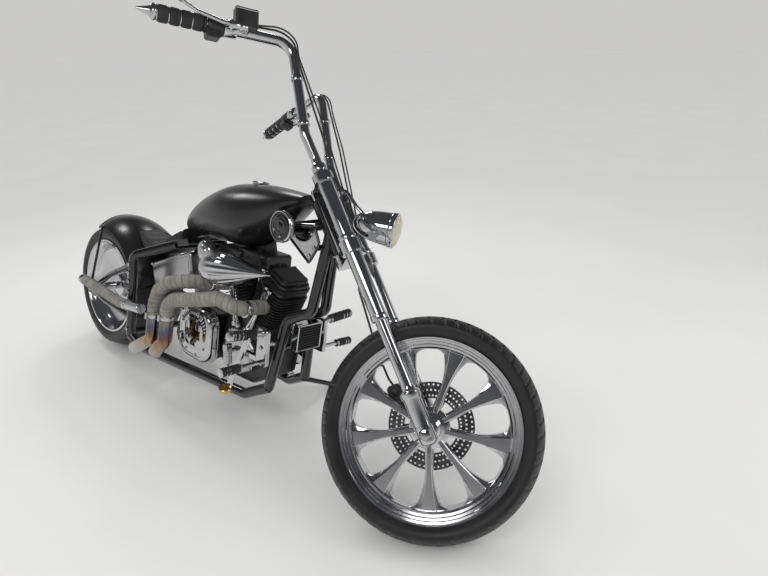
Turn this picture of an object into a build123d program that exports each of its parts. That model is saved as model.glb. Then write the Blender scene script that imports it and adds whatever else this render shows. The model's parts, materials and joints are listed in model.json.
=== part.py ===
from build123d import *
import os
from math import acos, atan2, cos, degrees, hypot, radians, sin, sqrt

# Long-fork motorcycle with a rigid frame, leaning on its side stand, steering turned to its left stop.
# Millimetres. The bike is drawn upright and straight, x forward from the rear axle, y to its left and
# z up from the floor, and is then steered, leaned and set on the floor.

# Driving dimensions
wheelbase = 1960.0
rake = 39.5
fork_offset = 60.0
leg_spacing = 266.0
steer_lock = 31.5
lean = 14.5
front_tyre_radius = 370.0
front_tyre_width = 136.0
front_lip_radius = 300.0
front_bead_radius = 292.0
rear_tyre_radius = 333.0
rear_tyre_width = 272.0
rear_lip_radius = 243.0
rear_bead_radius = 229.0
axle_radius = 12.5
bearing_gap = 0.05
disc_radius = 148.0
spoke_count = 9
frame_tube_radius = 21.0
fork_tube_radius = 27.0
slider_radius = 19.5
bar_radius = 16.0
grip_radius = 20.0
pipe_radius = 27.0
fin_pitch = 13.0
fin_count = 13
bore_radius = 52.0
vee_half_angle = 22.5

# Derived places
up_fork = Vector(-sin(radians(rake)), 0, cos(radians(rake)))
out_fork = Vector(cos(radians(rake)), 0, sin(radians(rake)))
front_axle_point = Vector(wheelbase, 0, front_tyre_radius)
steer_point = front_axle_point - out_fork * fork_offset
rear_axle_point = Vector(0, 0, rear_tyre_radius)
leg_side = leg_spacing / 2
fender_half = rear_tyre_width / 2 + 9
crank_point = Vector(1090, 0, 350)

nodes = {}


def fork_place(along, out=0.0, side=0.0):
    """Point measured up the fork legs from the front axle, forward of them, and to the left."""
    return front_axle_point + up_fork * along + out_fork * out + Vector(0, side, 0)


def rod(start, end, radius):
    start, end = Vector(*start), Vector(*end)
    run = end - start
    return extrude(Plane(origin=start, z_dir=run) * Circle(radius), run.length)


def ring(start, end, radius, bore):
    return rod(start, end, radius) - rod(start, end, bore)


def turned(start, direction, outline):
    """Solid of revolution: outline rows are (distance along direction, radius)."""
    rows = [(radius, along) for along, radius in outline]
    rows = [(0, rows[0][1])] + rows + [(0, rows[-1][1])]
    kept = [row for place, row in enumerate(rows) if place == 0 or row != rows[place - 1]]
    face = make_face(Plane.XZ * Polyline(*kept, close=True))
    return Plane(origin=start, z_dir=direction).location * revolve(face, Axis.Z)


def tube(points, radius, bend):
    """Round tube along a run of points with equal bends between them."""
    path = FilletPolyline(*points, radius=bend) if len(points) > 2 else Line(*points)
    return sweep(Plane(origin=path @ 0, z_dir=path % 0) * Circle(radius), path=path)


def slab(points, low, high):
    """Plate drawn as (x, z) points and reaching from low to high across the bike."""
    face = make_face(Plane.XZ * Polyline(*points, close=True))
    return Pos(0, high, 0) * extrude(face, high - low, dir=(0, -1, 0))


def block(center, size, turn=(0, 0, 0)):
    return Pos(*center) * Rot(*turn) * Box(*size)


def mirrored(shape):
    return mirror(shape, Plane.XZ)


def wheel_ring(center, outline):
    """Ring about a wheel's axle: outline rows are (side, radius)."""
    face = make_face(Plane.YZ * Polyline(*outline, close=True))
    return Pos(*center) * revolve(face, Axis.Y)


def tyre(center, radius, width, bead, lip):
    """Tyre section: beads on the rim seats, round walls, a crowned tread and a hollow inside."""
    half = width / 2
    seat = half * 0.74
    shoulder = radius - (radius - lip) * 0.40
    outer = [
        ThreePointArc((seat, lip + 1), (half, (lip + shoulder) / 2), (half * 0.94, shoulder)),
        ThreePointArc((half * 0.94, shoulder), (0, radius), (-half * 0.94, shoulder)),
        ThreePointArc((-half * 0.94, shoulder), (-half, (lip + shoulder) / 2), (-seat, lip + 1)),
    ]
    rest = Polyline((-seat, lip + 1), (-seat, bead), (-seat + 13, bead), (-seat + 12, lip + 3))
    inner = ThreePointArc((-seat + 12, lip + 3), (0, radius - 13), (seat - 12, lip + 3))
    back = Polyline((seat - 12, lip + 3), (seat - 13, bead), (seat, bead), (seat, lip + 1))
    face = make_face(Plane.YZ * (Curve() + outer + [rest, inner, back]))
    return Pos(*center) * revolve(face, Axis.Y)


# Front wheel: hoop, flared spokes with a centre ridge, hub
front_seat = front_tyre_width / 2 * 0.74
hoop = wheel_ring(
    front_axle_point,
    [
        (-front_seat, front_bead_radius), (-front_seat, front_lip_radius),
        (-front_seat - 5, front_lip_radius), (-front_seat - 5, front_lip_radius - 10),
        (-front_seat + 4, front_lip_radius - 18), (-front_seat + 8, front_lip_radius - 32),
        (-28, front_lip_radius - 40), (28, front_lip_radius - 40),
        (front_seat - 8, front_lip_radius - 32), (front_seat - 4, front_lip_radius - 18),
        (front_seat + 5, front_lip_radius - 10), (front_seat + 5, front_lip_radius),
        (front_seat, front_lip_radius), (front_seat, front_bead_radius),
        (front_seat - 14, front_bead_radius), (front_seat - 22, front_bead_radius - 15),
        (-front_seat + 22, front_bead_radius - 15), (-front_seat + 14, front_bead_radius),
    ],
)
window_outer = front_lip_radius - 46
pitch = 360.0 / spoke_count
spoke_widths = [(74.0, 12.0), (165.0, 14.0), (window_outer, 42.0)]
lower = [(radius, width) for radius, width in spoke_widths]
turn_back = radians(pitch)
upper = [
    (radius * cos(turn_back) + width * sin(turn_back), radius * sin(turn_back) - width * cos(turn_back))
    for radius, width in spoke_widths
]
window_edge = [
    ThreePointArc(*lower),
    ThreePointArc(
        lower[2],
        (hypot(*lower[2]) * cos(turn_back / 2), hypot(*lower[2]) * sin(turn_back / 2)),
        upper[2],
    ),
    ThreePointArc(upper[2], upper[1], upper[0]),
    Line(upper[0], lower[0]),
]
window = make_face(Curve() + window_edge)
window = fillet(window.vertices(), 9)
center_face = Circle(front_lip_radius - 39)
for index in range(spoke_count):
    center_face -= Rot(0, 0, 12 + pitch * index) * window
wheel_plane = Plane(origin=front_axle_point + Vector(0, 13, 0), x_dir=(1, 0, 0), z_dir=(0, -1, 0))
spokes = extrude(wheel_plane * center_face, 26)
ridge_face = make_face(
    Polyline((30, 7), (165, 6), (248, 20), (248, -20), (165, -6), (30, -7), close=True)
)
for index in range(spoke_count):
    turned_ridge = Rot(0, 0, 12 + pitch * index) * ridge_face
    lifted = Plane(origin=front_axle_point + Vector(0, 22, 0), x_dir=(1, 0, 0), z_dir=(0, -1, 0))
    spokes += extrude(lifted * turned_ridge, 44)
hub = turned(
    front_axle_point + Vector(0, 54, 0), (0, -1, 0),
    [(0, 34), (10, 38), (30, 38), (36, 70), (72, 70), (78, 40), (100, 36), (106, 30)],
)
hub_bore = rod(
    front_axle_point + Vector(0, 70, 0), front_axle_point - Vector(0, 70, 0), axle_radius + bearing_gap
)
nodes["front_rim"] = hoop + spokes + hub - hub_bore
nodes["front_tyre"] = tyre(
    front_axle_point, front_tyre_radius, front_tyre_width, front_bead_radius, front_lip_radius
)
disc_low = front_axle_point + Vector(0, 54.0, 0)
disc_high = front_axle_point + Vector(0, 60.0, 0)
front_disc = ring(disc_low, disc_high, disc_radius, 92) + ring(disc_low, disc_high, 50, axle_radius + 4)
for index in range(9):
    arm = Rot(0, 0, 40 * index) * (Pos(71, 0) * Rectangle(50, 12))
    front_disc += extrude(Plane(origin=disc_high, x_dir=(1, 0, 0), z_dir=(0, -1, 0)) * arm, 6)
nodes["front_disc"] = front_disc

# Rear wheel: wide hoop, deep dish on both sides, hub, belt pulley outboard of the tyre on the left
rear_seat = rear_tyre_width / 2 * 0.74
rear_half = rear_tyre_width / 2
nodes["rear_rim"] = wheel_ring(
    rear_axle_point,
    [
        (-rear_seat, rear_bead_radius), (-rear_seat, rear_lip_radius),
        (-rear_seat - 6, rear_lip_radius), (-rear_seat - 6, rear_lip_radius - 10),
        (-rear_seat + 12, rear_bead_radius - 14), (-66, 196), (-44, 120), (-40, 66), (-72, 58),
        (-78, 40), (-78, axle_radius + bearing_gap), (78, axle_radius + bearing_gap), (78, 40),
        (72, 58), (40, 66), (44, 120), (66, 196), (rear_seat - 12, rear_bead_radius - 14),
        (rear_seat + 6, rear_lip_radius - 10), (rear_seat + 6, rear_lip_radius),
        (rear_seat, rear_lip_radius), (rear_seat, rear_bead_radius),
        (rear_seat - 16, rear_bead_radius), (rear_seat - 34, rear_bead_radius - 22),
        (-rear_seat + 34, rear_bead_radius - 22), (-rear_seat + 16, rear_bead_radius),
    ],
)
nodes["rear_tyre"] = tyre(
    rear_axle_point, rear_tyre_radius, rear_tyre_width, rear_bead_radius, rear_lip_radius
)
belt_side = rear_half + 16
belt_width = 26.0
pulley_radius = 108.0
pulley_in = rear_axle_point + Vector(0, 78, 0)
rim_at = belt_side - 78
pulley = turned(
    pulley_in, (0, 1, 0),
    [
        (0, 58), (rim_at - 8, 58), (rim_at - 8, pulley_radius + 5), (rim_at - 3, pulley_radius + 5),
        (rim_at - 3, pulley_radius), (rim_at + belt_width, pulley_radius), (rim_at + belt_width, 36),
        (rim_at + belt_width + 3, 32),
    ],
)
nodes["rear_pulley"] = pulley - rod(pulley_in - Vector(0, 9, 0), pulley_in + Vector(0, 120, 0), axle_radius + 1)

# Fork: two legs, clamps, stem, axle
leg_top = 922.0
tube_low = 376.0
lowers, tubes = [], []
for side in (-leg_side, leg_side):
    foot = turned(
        fork_place(-38, 0, side), up_fork,
        [(0, 16), (6, 25), (16, 29), (150, 29), (158, 33), (172, 33), (176, 24), (196, slider_radius),
         (tube_low + 58, slider_radius)],
    )
    axle_hole = rod(
        front_axle_point + Vector(0, side - 40, 0), front_axle_point + Vector(0, side + 40, 0), axle_radius
    )
    lowers.append(foot - axle_hole)
    outer = turned(
        fork_place(tube_low, 0, side), up_fork,
        [(0, 24), (4, 29), (20, 29), (22, fork_tube_radius), (leg_top - tube_low - 10, fork_tube_radius),
         (leg_top - tube_low - 6, 24), (leg_top - tube_low, 21)],
    )
    tubes.append(outer - rod(fork_place(tube_low - 9, 0, side), fork_place(tube_low + 20, 0, side), slider_radius))
nodes["fork_lowers"] = lowers[0] + lowers[1]
nodes["fork_tubes"] = tubes[0] + tubes[1]

axle_reach = leg_side + 34
axle = rod(
    front_axle_point - Vector(0, axle_reach, 0), front_axle_point + Vector(0, axle_reach, 0), axle_radius
)
spacer_out = leg_side - 29.2
axle += rod(front_axle_point - Vector(0, spacer_out, 0), front_axle_point - Vector(0, 58, 0), 19)
axle += rod(front_axle_point + Vector(0, 66, 0), front_axle_point + Vector(0, spacer_out, 0), 19)
nodes["front_axle"] = axle


def clamp_plate(low, high, ears, middle):
    """Fork clamp: a waisted plate between two leg rings and the stem ring, bored for the legs."""
    side = leg_side
    face = Pos(0, side) * Circle(ears) + Pos(0, -side) * Circle(ears)
    face += Pos(-fork_offset, 0) * Circle(middle)
    face += make_face(Polyline(
        (-18, side), (-fork_offset - 14, 20), (-fork_offset - 14, -20), (-18, -side),
        (20, -side), (4, -30), (4, 30), (20, side), close=True,
    ))
    for place in (side, -side):
        face -= Pos(0, place) * Circle(fork_tube_radius)
    plane = Plane(origin=fork_place(low), x_dir=out_fork, z_dir=up_fork)
    return extrude(plane * face, high - low)


stem_radius = 15.0
lower_top, upper_low = 660.0, 884.0
stem = rod(fork_place(lower_top - 42, -fork_offset), fork_place(upper_low + 42, -fork_offset), stem_radius)
stem += rod(fork_place(upper_low + 28, -fork_offset), fork_place(upper_low + 42, -fork_offset), 21)
nodes["lower_clamp"] = clamp_plate(lower_top - 42, lower_top, 38, 32) + stem
nodes["upper_clamp"] = clamp_plate(upper_low, upper_low + 28, 36, 28) - stem

# Handlebar: two uprights on the legs' caps, each bending out to a grip
bar_foot = fork_place(leg_top, 0, leg_side)
bar_waist = fork_place(1262, 45, leg_side + 17)
bar_top = fork_place(1376, 78, leg_side + 37)
grip_end = fork_place(1479, -250, 457)
grip_length = 158.0
bar_run = (grip_end - bar_top).normalized()
grip_start = grip_end - bar_run * grip_length
bar = tube([bar_foot, fork_place(leg_top + 60, 0, leg_side), bar_waist, bar_top, grip_end], bar_radius, 60)
bar += turned(bar_foot, up_fork, [(0, 24), (26, 24), (32, 20), (40, bar_radius)])
nodes["handlebar_left"] = bar
nodes["handlebar_right"] = mirrored(bar)
rows = [(0, grip_radius + 3), (8, grip_radius + 3)]
for index in range(4):
    base = 12 + index * (grip_length - 20) / 4
    rows += [(base, grip_radius - 1), (base + 4, grip_radius + 2), (base + 20, grip_radius + 2)]
    rows += [(base + 24, grip_radius - 1)]
rows += [(grip_length, grip_radius), (grip_length + 8, 15), (grip_length + 42, 6), (grip_length + 46, 3)]
grip = turned(grip_start, bar_run, rows) - rod(grip_start - bar_run * 5, grip_end, bar_radius)
nodes["grip_left"] = grip
nodes["grip_right"] = mirrored(grip)
lever_side = bar_run.cross(Vector(0, 0, -1)).normalized()
lever_side = lever_side if lever_side.X > 0 else lever_side * -1
master = grip_start - bar_run * 76
pivot = master + lever_side * 36
lever_tip = grip_end + lever_side * 62 - bar_run * 6
control = rod(grip_start - bar_run * 54, grip_start - bar_run * 4, 25)
control += rod(master - bar_run * 20, master + bar_run * 22, 23)
control += rod(pivot - bar_run * 46, pivot + bar_run * 16, 16)
control += rod(master, pivot, 14)
control += rod(pivot, lever_tip, 5.5)
control += Pos(*lever_tip) * Sphere(8)
control -= rod(bar_top, grip_end, bar_radius)
nodes["control_left"] = control
post_foot = master - bar_run * 44 + lever_side * 34
cup = rod(post_foot, post_foot + Vector(0, 0, 40), 9)
cup += Pos(*(post_foot + Vector(0, 0, 52))) * Rot(0, 0, degrees(atan2(bar_run.Y, bar_run.X))) * Box(74, 46, 36)
cup += Pos(*(post_foot + Vector(0, 0, 73))) * Rot(0, 0, degrees(atan2(bar_run.Y, bar_run.X))) * Box(80, 52, 6)
nodes["control_right"] = mirrored(control)
nodes["reservoir"] = mirrored(cup - control)

# Headlamp on a curved band from the upper clamp
lamp_center = fork_place(698, 84)
lamp_turn = Vector(1, 0, 0.02)
lens = turned(lamp_center + Vector(70, 0, 1), lamp_turn, [(0, 74), (12, 77), (20, 66), (27, 40), (30, 12)])
shell = turned(
    lamp_center - Vector(82, 0, 0), lamp_turn,
    [(0, 6), (8, 28), (30, 55), (62, 73), (110, 80), (142, 81), (150, 85), (164, 85), (164, 78)],
)
nodes["headlamp_shell"] = shell - lens
nodes["headlamp_lens"] = lens
band = tube([fork_place(898, -2), fork_place(850, 74), lamp_center + Vector(-34, 0, 60)], 9, 30)
nodes["headlamp_band"] = band - shell - nodes["upper_clamp"]

# Front brake: caliper on the left foot, hose from the lower clamp down the leg
caliper_at = fork_place(128, -72, 66)
caliper = block(caliper_at, (50, 52, 96), (0, -rake, 0))
caliper += block(fork_place(128, -30, leg_side - 39), (70, 36, 44), (0, -rake, 0))
gap = rod(front_axle_point + Vector(0, 47, 0), front_axle_point + Vector(0, 67, 0), disc_radius + 8)
nodes["front_caliper"] = caliper - gap - lowers[1]
hose = tube(
    [
        fork_place(612, -20, 60), fork_place(540, -60, 70), fork_place(300, -84, 84),
        fork_place(200, -80, 72), caliper_at + up_fork * 40,
    ],
    4.0, 30,
)
nodes["brake_hose"] = hose - caliper - nodes["lower_clamp"]

# Frame: head tube, backbone, twin downtubes, cradle rails, posts with seat rails, rear stays
head_low, head_high = lower_top + 8, upper_low - 7
head_solid = rod(fork_place(head_low, -fork_offset), fork_place(head_high, -fork_offset), 32)
head = head_solid - rod(fork_place(head_low - 9, -fork_offset), fork_place(head_high + 9, -fork_offset), 21)
for low in (head_low, head_high - 22):
    head += ring(
        fork_place(low, -fork_offset), fork_place(low + 22, -fork_offset), 26, stem_radius + bearing_gap
    )
nodes["frame_neck"] = head

neck_low = fork_place(head_low, -fork_offset)
neck_mid = fork_place(790, -fork_offset)
post_x = rear_tyre_radius + 82
post_side = belt_side + belt_width + frame_tube_radius + 5
seat_post = Vector(600, 104, 688)
backbone_rear = Vector(600, 0, 718)
nodes["frame_backbone"] = rod(neck_mid, backbone_rear, frame_tube_radius + 1) - head_solid
cradle_front = Vector(1290, 96, 270)
knee = Vector(1318, 62, 560)
down = tube(
    [
        fork_place(head_low + 82, -fork_offset, 14), neck_low + Vector(-76, 36, -240), knee,
        knee + Vector(-8, 14, -110), cradle_front,
    ],
    frame_tube_radius, 40,
) - head_solid
nodes["frame_downtubes"] = down + mirrored(down)
cradle_rear = Vector(post_x + 60, post_side - 22, 165)
post_low = Vector(post_x, post_side, 215)
cradle = tube([cradle_front, Vector(1180, 118, 205), cradle_rear, post_low], frame_tube_radius, 40)
post_top = Vector(post_x, post_side, 600)
post = tube([post_low, post_top, seat_post], frame_tube_radius, 40)
cradle -= down + post
nodes["frame_cradle"] = cradle + mirrored(cradle)
for name, turn in (("left", lambda shape: shape), ("right", mirrored)):
    nodes[f"frame_post_{name}"] = turn(post)
cross = rod((post_x, -post_side, 230), (post_x, post_side, 230), 15)
cross += rod((1310, -70, 440), (1310, 70, 440), 12)
seat_bar = rod(seat_post - Vector(0, 208, 0), seat_post, frame_tube_radius - 3)
cross += seat_bar
nodes["frame_crossbars"] = cross - post - mirrored(post) - down - mirrored(down) - cradle - mirrored(cradle)
nodes["frame_backbone"] -= seat_bar
stay_side = belt_side + belt_width + 24
stay = tube([(post_x, post_side, 300), (150, stay_side, 305), (10, stay_side, rear_tyre_radius)], 15, 60)
stay += tube([(post_x, post_side, 560), (190, stay_side, 450), (10, stay_side, rear_tyre_radius)], 13, 60)
stay += slab([(-48, 350), (-34, 306), (60, 296), (86, 320), (70, 372), (-20, 376)], stay_side - 8, stay_side + 8)
stay -= rod((0, 100, rear_tyre_radius), (0, 260, rear_tyre_radius), axle_radius)
stay -= post
nodes["rear_stay_left"] = stay
nodes["rear_stay_right"] = mirrored(stay)
rear_axle = rod(
    (0, -stay_side - 16, rear_tyre_radius), (0, stay_side + 16, rear_tyre_radius), axle_radius
)
rear_axle += rod((0, -stay_side + 8, rear_tyre_radius), (0, -78.3, rear_tyre_radius), 19)
rear_axle += rod(
    (0, belt_side + belt_width + 3.3, rear_tyre_radius), (0, stay_side - 8, rear_tyre_radius), 19
)
nodes["rear_axle"] = rear_axle - stay - mirrored(stay)
plate_at = neck_low + Vector(-56, 0, -32)
gusset_rows = [(-185, 20), (-153, 67), (-33, 87), (-7, 33), (-40, -43)]
gusset = slab([(plate_at.X + x, plate_at.Z + z) for x, z in gusset_rows], -58, -52)
gusset += rod(plate_at + Vector(-22, -58, 20), plate_at + Vector(-22, -20, 20), 8)
nodes["gusset_plate"] = gusset - mirrored(down)

# Tank: crowned sections from the tail to the nose, with a tunnel for the backbone
tank_rows = [
    # x, bottom, top, half width
    (548, 742, 764, 24),
    (620, 738, 858, 74),
    (740, 745, 940, 116),
    (880, 757, 1000, 144),
    (1000, 766, 1022, 150),
    (1100, 800, 1030, 136),
    (1200, 892, 1030, 104),
    (1296, 976, 1026, 56),
]
sections = []
for x, low, high, half in tank_rows:
    plane = Plane(origin=(x, 0, (low + high) / 2), x_dir=(0, 1, 0), z_dir=(1, 0, 0))
    sections.append(plane * Ellipse(half, (high - low) / 2))
tank = loft(sections)
tunnel_path = neck_mid - backbone_rear
tunnel_angle = -degrees(atan2(tunnel_path.Z, tunnel_path.X))
tunnel_mid = (neck_mid + backbone_rear) * 0.5
tunnel_half = frame_tube_radius + 1.3
tunnel = block(
    tunnel_mid - Vector(0, 0, 100 - tunnel_half), (tunnel_path.length + 200, 2 * tunnel_half, 200),
    (0, tunnel_angle, 0),
)
nodes["fuel_tank"] = tank - tunnel - nodes["frame_backbone"]

# Fender and seat
fender_in = rear_tyre_radius + 20
edge = fender_in - 46
arc_out = ThreePointArc((-fender_half - 4, edge), (0, fender_in + 5), (fender_half + 4, edge))
arc_in = ThreePointArc((fender_half, edge), (0, fender_in), (-fender_half, edge))
fender_face = make_face(
    Plane.YZ * (Curve() + [arc_out, Line(arc_out @ 1, arc_in @ 0), arc_in, Line(arc_in @ 1, arc_out @ 0)])
)
fender = revolve(fender_face, Axis.Y, revolution_arc=118)
fender = Pos(*rear_axle_point) * Rot(0, -45, 0) * fender
bracket = rod((270, fender_half - 2, 489), (270, stay_side, 489), 7)
strut_top = rear_axle_point + Vector(-40, fender_half + 2, sqrt((edge + 3) ** 2 - 40 ** 2))
bracket += rod((-12, stay_side, 364), strut_top, 6)
bracket -= stay
nodes["rear_fender"] = fender + bracket + mirrored(bracket)
seat_rows = [
    # x, bottom, top, half width
    (150, 690, 712, 70),
    (230, 668, 716, 118),
    (340, 640, 716, 128),
    (450, 660, 724, 118),
    (560, 700, 748, 78),
]
seat_sections = []
for x, low, high, half in seat_rows:
    plane = Plane(origin=(x, 0, (low + high) / 2), x_dir=(0, 1, 0), z_dir=(1, 0, 0))
    seat_sections.append(plane * RectangleRounded(half * 2, high - low, (high - low) * 0.4))
seat = loft(seat_sections) - Pos(*rear_axle_point) * rod((0, -200, 0), (0, 200, 0), fender_in + 6)
nodes["seat"] = seat - nodes["fuel_tank"] - post - mirrored(post) - seat_bar

# Engine: case with cam cover, two finned cylinders with rocker boxes, gearbox, covers
case_outline = [
    (-160, -50), (-130, -100), (-30, -125), (80, -115), (160, -60), (172, 40), (118, 130), (40, 158),
    (-40, 158), (-118, 130),
]
case = slab([(crank_point.X + x, crank_point.Z + z) for x, z in case_outline], -78, 78)
cam_outline = [(-105, -20), (-80, -80), (10, -95), (90, -50), (90, 40), (20, 100), (-70, 80)]
case += slab([(crank_point.X + x, crank_point.Z + z) for x, z in cam_outline], -104, -78)
nodes["engine_case"] = case
barrel_low, barrel_rise = 146.0, 236.0
for name, sign in (("front", 1), ("rear", -1)):
    lean_angle = radians(vee_half_angle)
    rise = Vector(sign * sin(lean_angle), 0, cos(lean_angle))
    side_dir = Vector(0, 1, 0)
    low_plane = Plane(origin=crank_point + rise * barrel_low, x_dir=side_dir, z_dir=rise)
    barrel = extrude(low_plane * Circle(bore_radius + 4), barrel_rise)
    for index in range(fin_count):
        height = barrel_low + 10 + index * fin_pitch
        reach = min(79.0, height * sin(lean_angle) / cos(lean_angle) - 3)
        fin_plane = Plane(origin=crank_point + rise * height, x_dir=side_dir, z_dir=rise)
        barrel += extrude(fin_plane * RectangleRounded(160, 2 * reach, min(34, reach - 2)), 4)
    cap_low = barrel_low + 10 + fin_count * fin_pitch
    cap_plane = Plane(origin=crank_point + rise * cap_low, x_dir=side_dir, z_dir=rise)
    barrel += extrude(cap_plane * RectangleRounded(156, 138, 30), 44)
    barrel += extrude(cap_plane.offset(44) * RectangleRounded(132, 104, 24), 22)
    nodes[f"cylinder_{name}"] = barrel - case
gear_x, gear_z = 800.0, 345.0
gear_outline = [(-160, -55), (-140, -95), (118, -100), (126, -45), (118, 105), (-110, 125)]
front_pulley_radius = 42.0
gearbox = slab([(gear_x + x, gear_z + z) for x, z in gear_outline], -110, 92)
shaft_at = Vector(gear_x - 20, 92, gear_z + 10)
gearbox += rod(shaft_at, shaft_at + Vector(0, belt_side - 96, 0), 36)
gearbox += rod(
    Vector(shaft_at.X, belt_side - 4, shaft_at.Z),
    Vector(shaft_at.X, belt_side + belt_width, shaft_at.Z), front_pulley_radius,
)
nodes["gearbox"] = gearbox
nodes["gearbox_cover"] = extrude(
    Plane(origin=(gear_x + 20, -110, gear_z + 25), x_dir=(1, 0, 0), z_dir=(0, -1, 0))
    * RectangleRounded(150, 220, 40), 40, taper=12,
)
primary_side = belt_side + belt_width + 8
primary = extrude(
    Plane(origin=((gear_x + crank_point.X) / 2 - 10, primary_side, gear_z), x_dir=(1, 0, 0), z_dir=(0, 1, 0))
    * SlotOverall(crank_point.X - gear_x + 250, 210), 52, taper=6,
)
primary += rod((crank_point.X, 78, crank_point.Z), (crank_point.X, primary_side, crank_point.Z), 60)
primary += rod(
    (shaft_at.X, belt_side + belt_width, shaft_at.Z), (shaft_at.X, primary_side, shaft_at.Z), 30
)
nodes["primary_cover"] = primary
wheel_loop = (rear_axle_point.X, rear_axle_point.Z, pulley_radius)
shaft_loop = (shaft_at.X, shaft_at.Z, front_pulley_radius)


def belt_loop(extra):
    """Area round both pulleys, standing off them by extra."""
    span = hypot(shaft_loop[0] - wheel_loop[0], shaft_loop[1] - wheel_loop[1])
    swing = acos((wheel_loop[2] - shaft_loop[2]) / span)
    heading = atan2(shaft_loop[1] - wheel_loop[1], shaft_loop[0] - wheel_loop[0])
    corners = []
    for sign, order in ((1, (wheel_loop, shaft_loop)), (-1, (shaft_loop, wheel_loop))):
        for x, z, radius in order:
            angle = heading + sign * swing
            corners.append((x + (radius + extra) * cos(angle), z + (radius + extra) * sin(angle)))
    area = make_face(Polyline(*corners, close=True))
    for x, z, radius in (wheel_loop, shaft_loop):
        area += Pos(x, z) * Circle(radius + extra)
    return area


belt_plane = Plane(origin=(0, belt_side, 0), x_dir=(1, 0, 0), z_dir=(0, -1, 0))
belt = extrude(belt_plane * (belt_loop(5.4) - belt_loop(0.4)), -(belt_width - 4))
nodes["drive_belt"] = belt
cleaner_low = Vector(970, -185, 700)
cleaner = turned(
    cleaner_low, (1, 0, 0.10),
    [(0, 20), (10, 48), (32, 70), (62, 82), (100, 84), (150, 76), (220, 52), (290, 24), (352, 6), (362, 3)],
)
cleaner += rod((crank_point.X, -20, 640), (crank_point.X, -150, 700), 33)
nodes["air_cleaner"] = cleaner - nodes["cylinder_front"] - nodes["cylinder_rear"]
nodes["breather"] = turned(
    (850, -66, 690), (0, -1, 0), [(0, 30), (30, 34), (40, 52), (66, 52), (78, 38), (84, 16)]
) + rod((850, -66, 690), (900, -20, 690), 20) - nodes["cylinder_rear"]
oil_tank = slab(
    [(440, 470), (450, 575), (480, 585), (560, 618), (700, 648), (720, 560), (690, 490)], -112, 112
)
oil_tank += block((706, 0, 484), (26, 120, 40)) - nodes["gearbox"]
nodes["oil_tank"] = oil_tank
horn_at = plate_at + Vector(-203, -74, 12)
horn = turned(horn_at, (0, -1, 0), [(0, 44), (10, 54), (32, 54), (38, 36)])
nodes["horn"] = horn + rod(plate_at + Vector(-172, -58, 27), plate_at + Vector(-172, -80, 27), 6)
cooler_at = Vector(knee.X + 48, 0, knee.Z - 64)
cooler = block(cooler_at, (36, 120, 100))
for index in range(8):
    cooler -= block(cooler_at + Vector(17, 0, -44 + index * 12.5), (20, 106, 5))
cooler += block(cooler_at + Vector(0, 0, 52), (42, 128, 6))
cooler += rod(cooler_at + Vector(-30, -20, 0), cooler_at + Vector(-10, -20, 0), 9)
nodes["oil_cooler"] = cooler - down - mirrored(down)

# Exhaust: two wrapped headers, three open pipes, one wrapped rail pipe
exhaust_side = post_side + frame_tube_radius + 28
header_rows = [
    [
        (955, -70, 600), (900, -180, 612), (800, -exhaust_side + 20, 585), (720, -exhaust_side, 560),
        (676, -exhaust_side, 480), (676, -exhaust_side, 400),
    ],
    [
        (1205, -70, 585), (1140, -184, 588), (1040, -exhaust_side + 20, 590), (880, -exhaust_side, 560),
        (790, -exhaust_side, 500), (790, -exhaust_side, 400),
    ],
]
headers = [
    tube(points, pipe_radius, 45) - nodes["cylinder_front"] - nodes["cylinder_rear"] for points in header_rows
]
nodes["exhaust_headers"] = headers[0] + headers[1]
pipes = []
for index in range(3):
    start = Vector(676 + index * 57, -exhaust_side, 400)
    end = start + Vector(-210, 0, -190 + index * 4)
    run = tube([start, start - Vector(0, 0, 90), end + Vector(70, 0, 8), end], 25, 60)
    run -= rod(end - Vector(20, 0, -2), end + Vector(70, 0, 8), 21)
    pipes.append(run)
nodes["exhaust_pipes"] = pipes[0] + pipes[1] + pipes[2]
nodes["tail_pipe"] = tube(
    [(590, -exhaust_side, 402), (400, -exhaust_side, 375), (10, -exhaust_side, 386)], 24, 200
)
hanger = rod((post_x, -post_side, 377), (post_x, -exhaust_side, 377), 10)
nodes["frame_post_right"] += hanger - nodes["tail_pipe"]

# Foot controls
for name, turn in (("left", lambda shape: shape), ("right", mirrored)):
    control = slab([(1268, 380), (1268, 525), (1322, 525), (1330, 380)], 141, 159)
    control += rod((1295, 60, 452), (1295, 150, 470), 15)
    control += turned((1295, 159, 508), (0.05, 1, 0.12), [(0, 12), (34, 12), (38, 19), (150, 19), (158, 14)])
    control += rod((1300, 150, 396), (1300, 250, 394), 9)
    control += rod((1300, 250, 394), (1300, 335, 392), 17)
    nodes[f"foot_control_{name}"] = turn(control - down)


# Attitude: pitch and lean that put both tyres on the floor
def leaned(point, pitch_angle):
    point = Vector(*point).rotate(Axis.Y, pitch_angle)
    return point.rotate(Axis.X, -lean)


def lowest(center, normal, radius, crown):
    return center.Z - (radius - crown) * sqrt(1 - normal.Z ** 2) - crown


def crown_of(radius, width, lip):
    drop = (radius - lip) * 0.40
    return ((width / 2 * 0.94) ** 2 + drop ** 2) / (2 * drop)


steer_axis = Axis(steer_point, up_fork)
front_crown = crown_of(front_tyre_radius, front_tyre_width, front_lip_radius)
rear_crown = crown_of(rear_tyre_radius, rear_tyre_width, rear_lip_radius)
steered_axle = Vector(0, 1, 0).rotate(Axis((0, 0, 0), up_fork), steer_lock)
steered_center = (front_axle_point - steer_point).rotate(Axis((0, 0, 0), up_fork), steer_lock) + steer_point


def drops(pitch_angle):
    front = lowest(
        leaned(steered_center, pitch_angle), leaned(steered_axle, pitch_angle), front_tyre_radius, front_crown
    )
    rear = lowest(
        leaned(rear_axle_point, pitch_angle), leaned((0, 1, 0), pitch_angle), rear_tyre_radius, rear_crown
    )
    return front, rear


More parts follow.
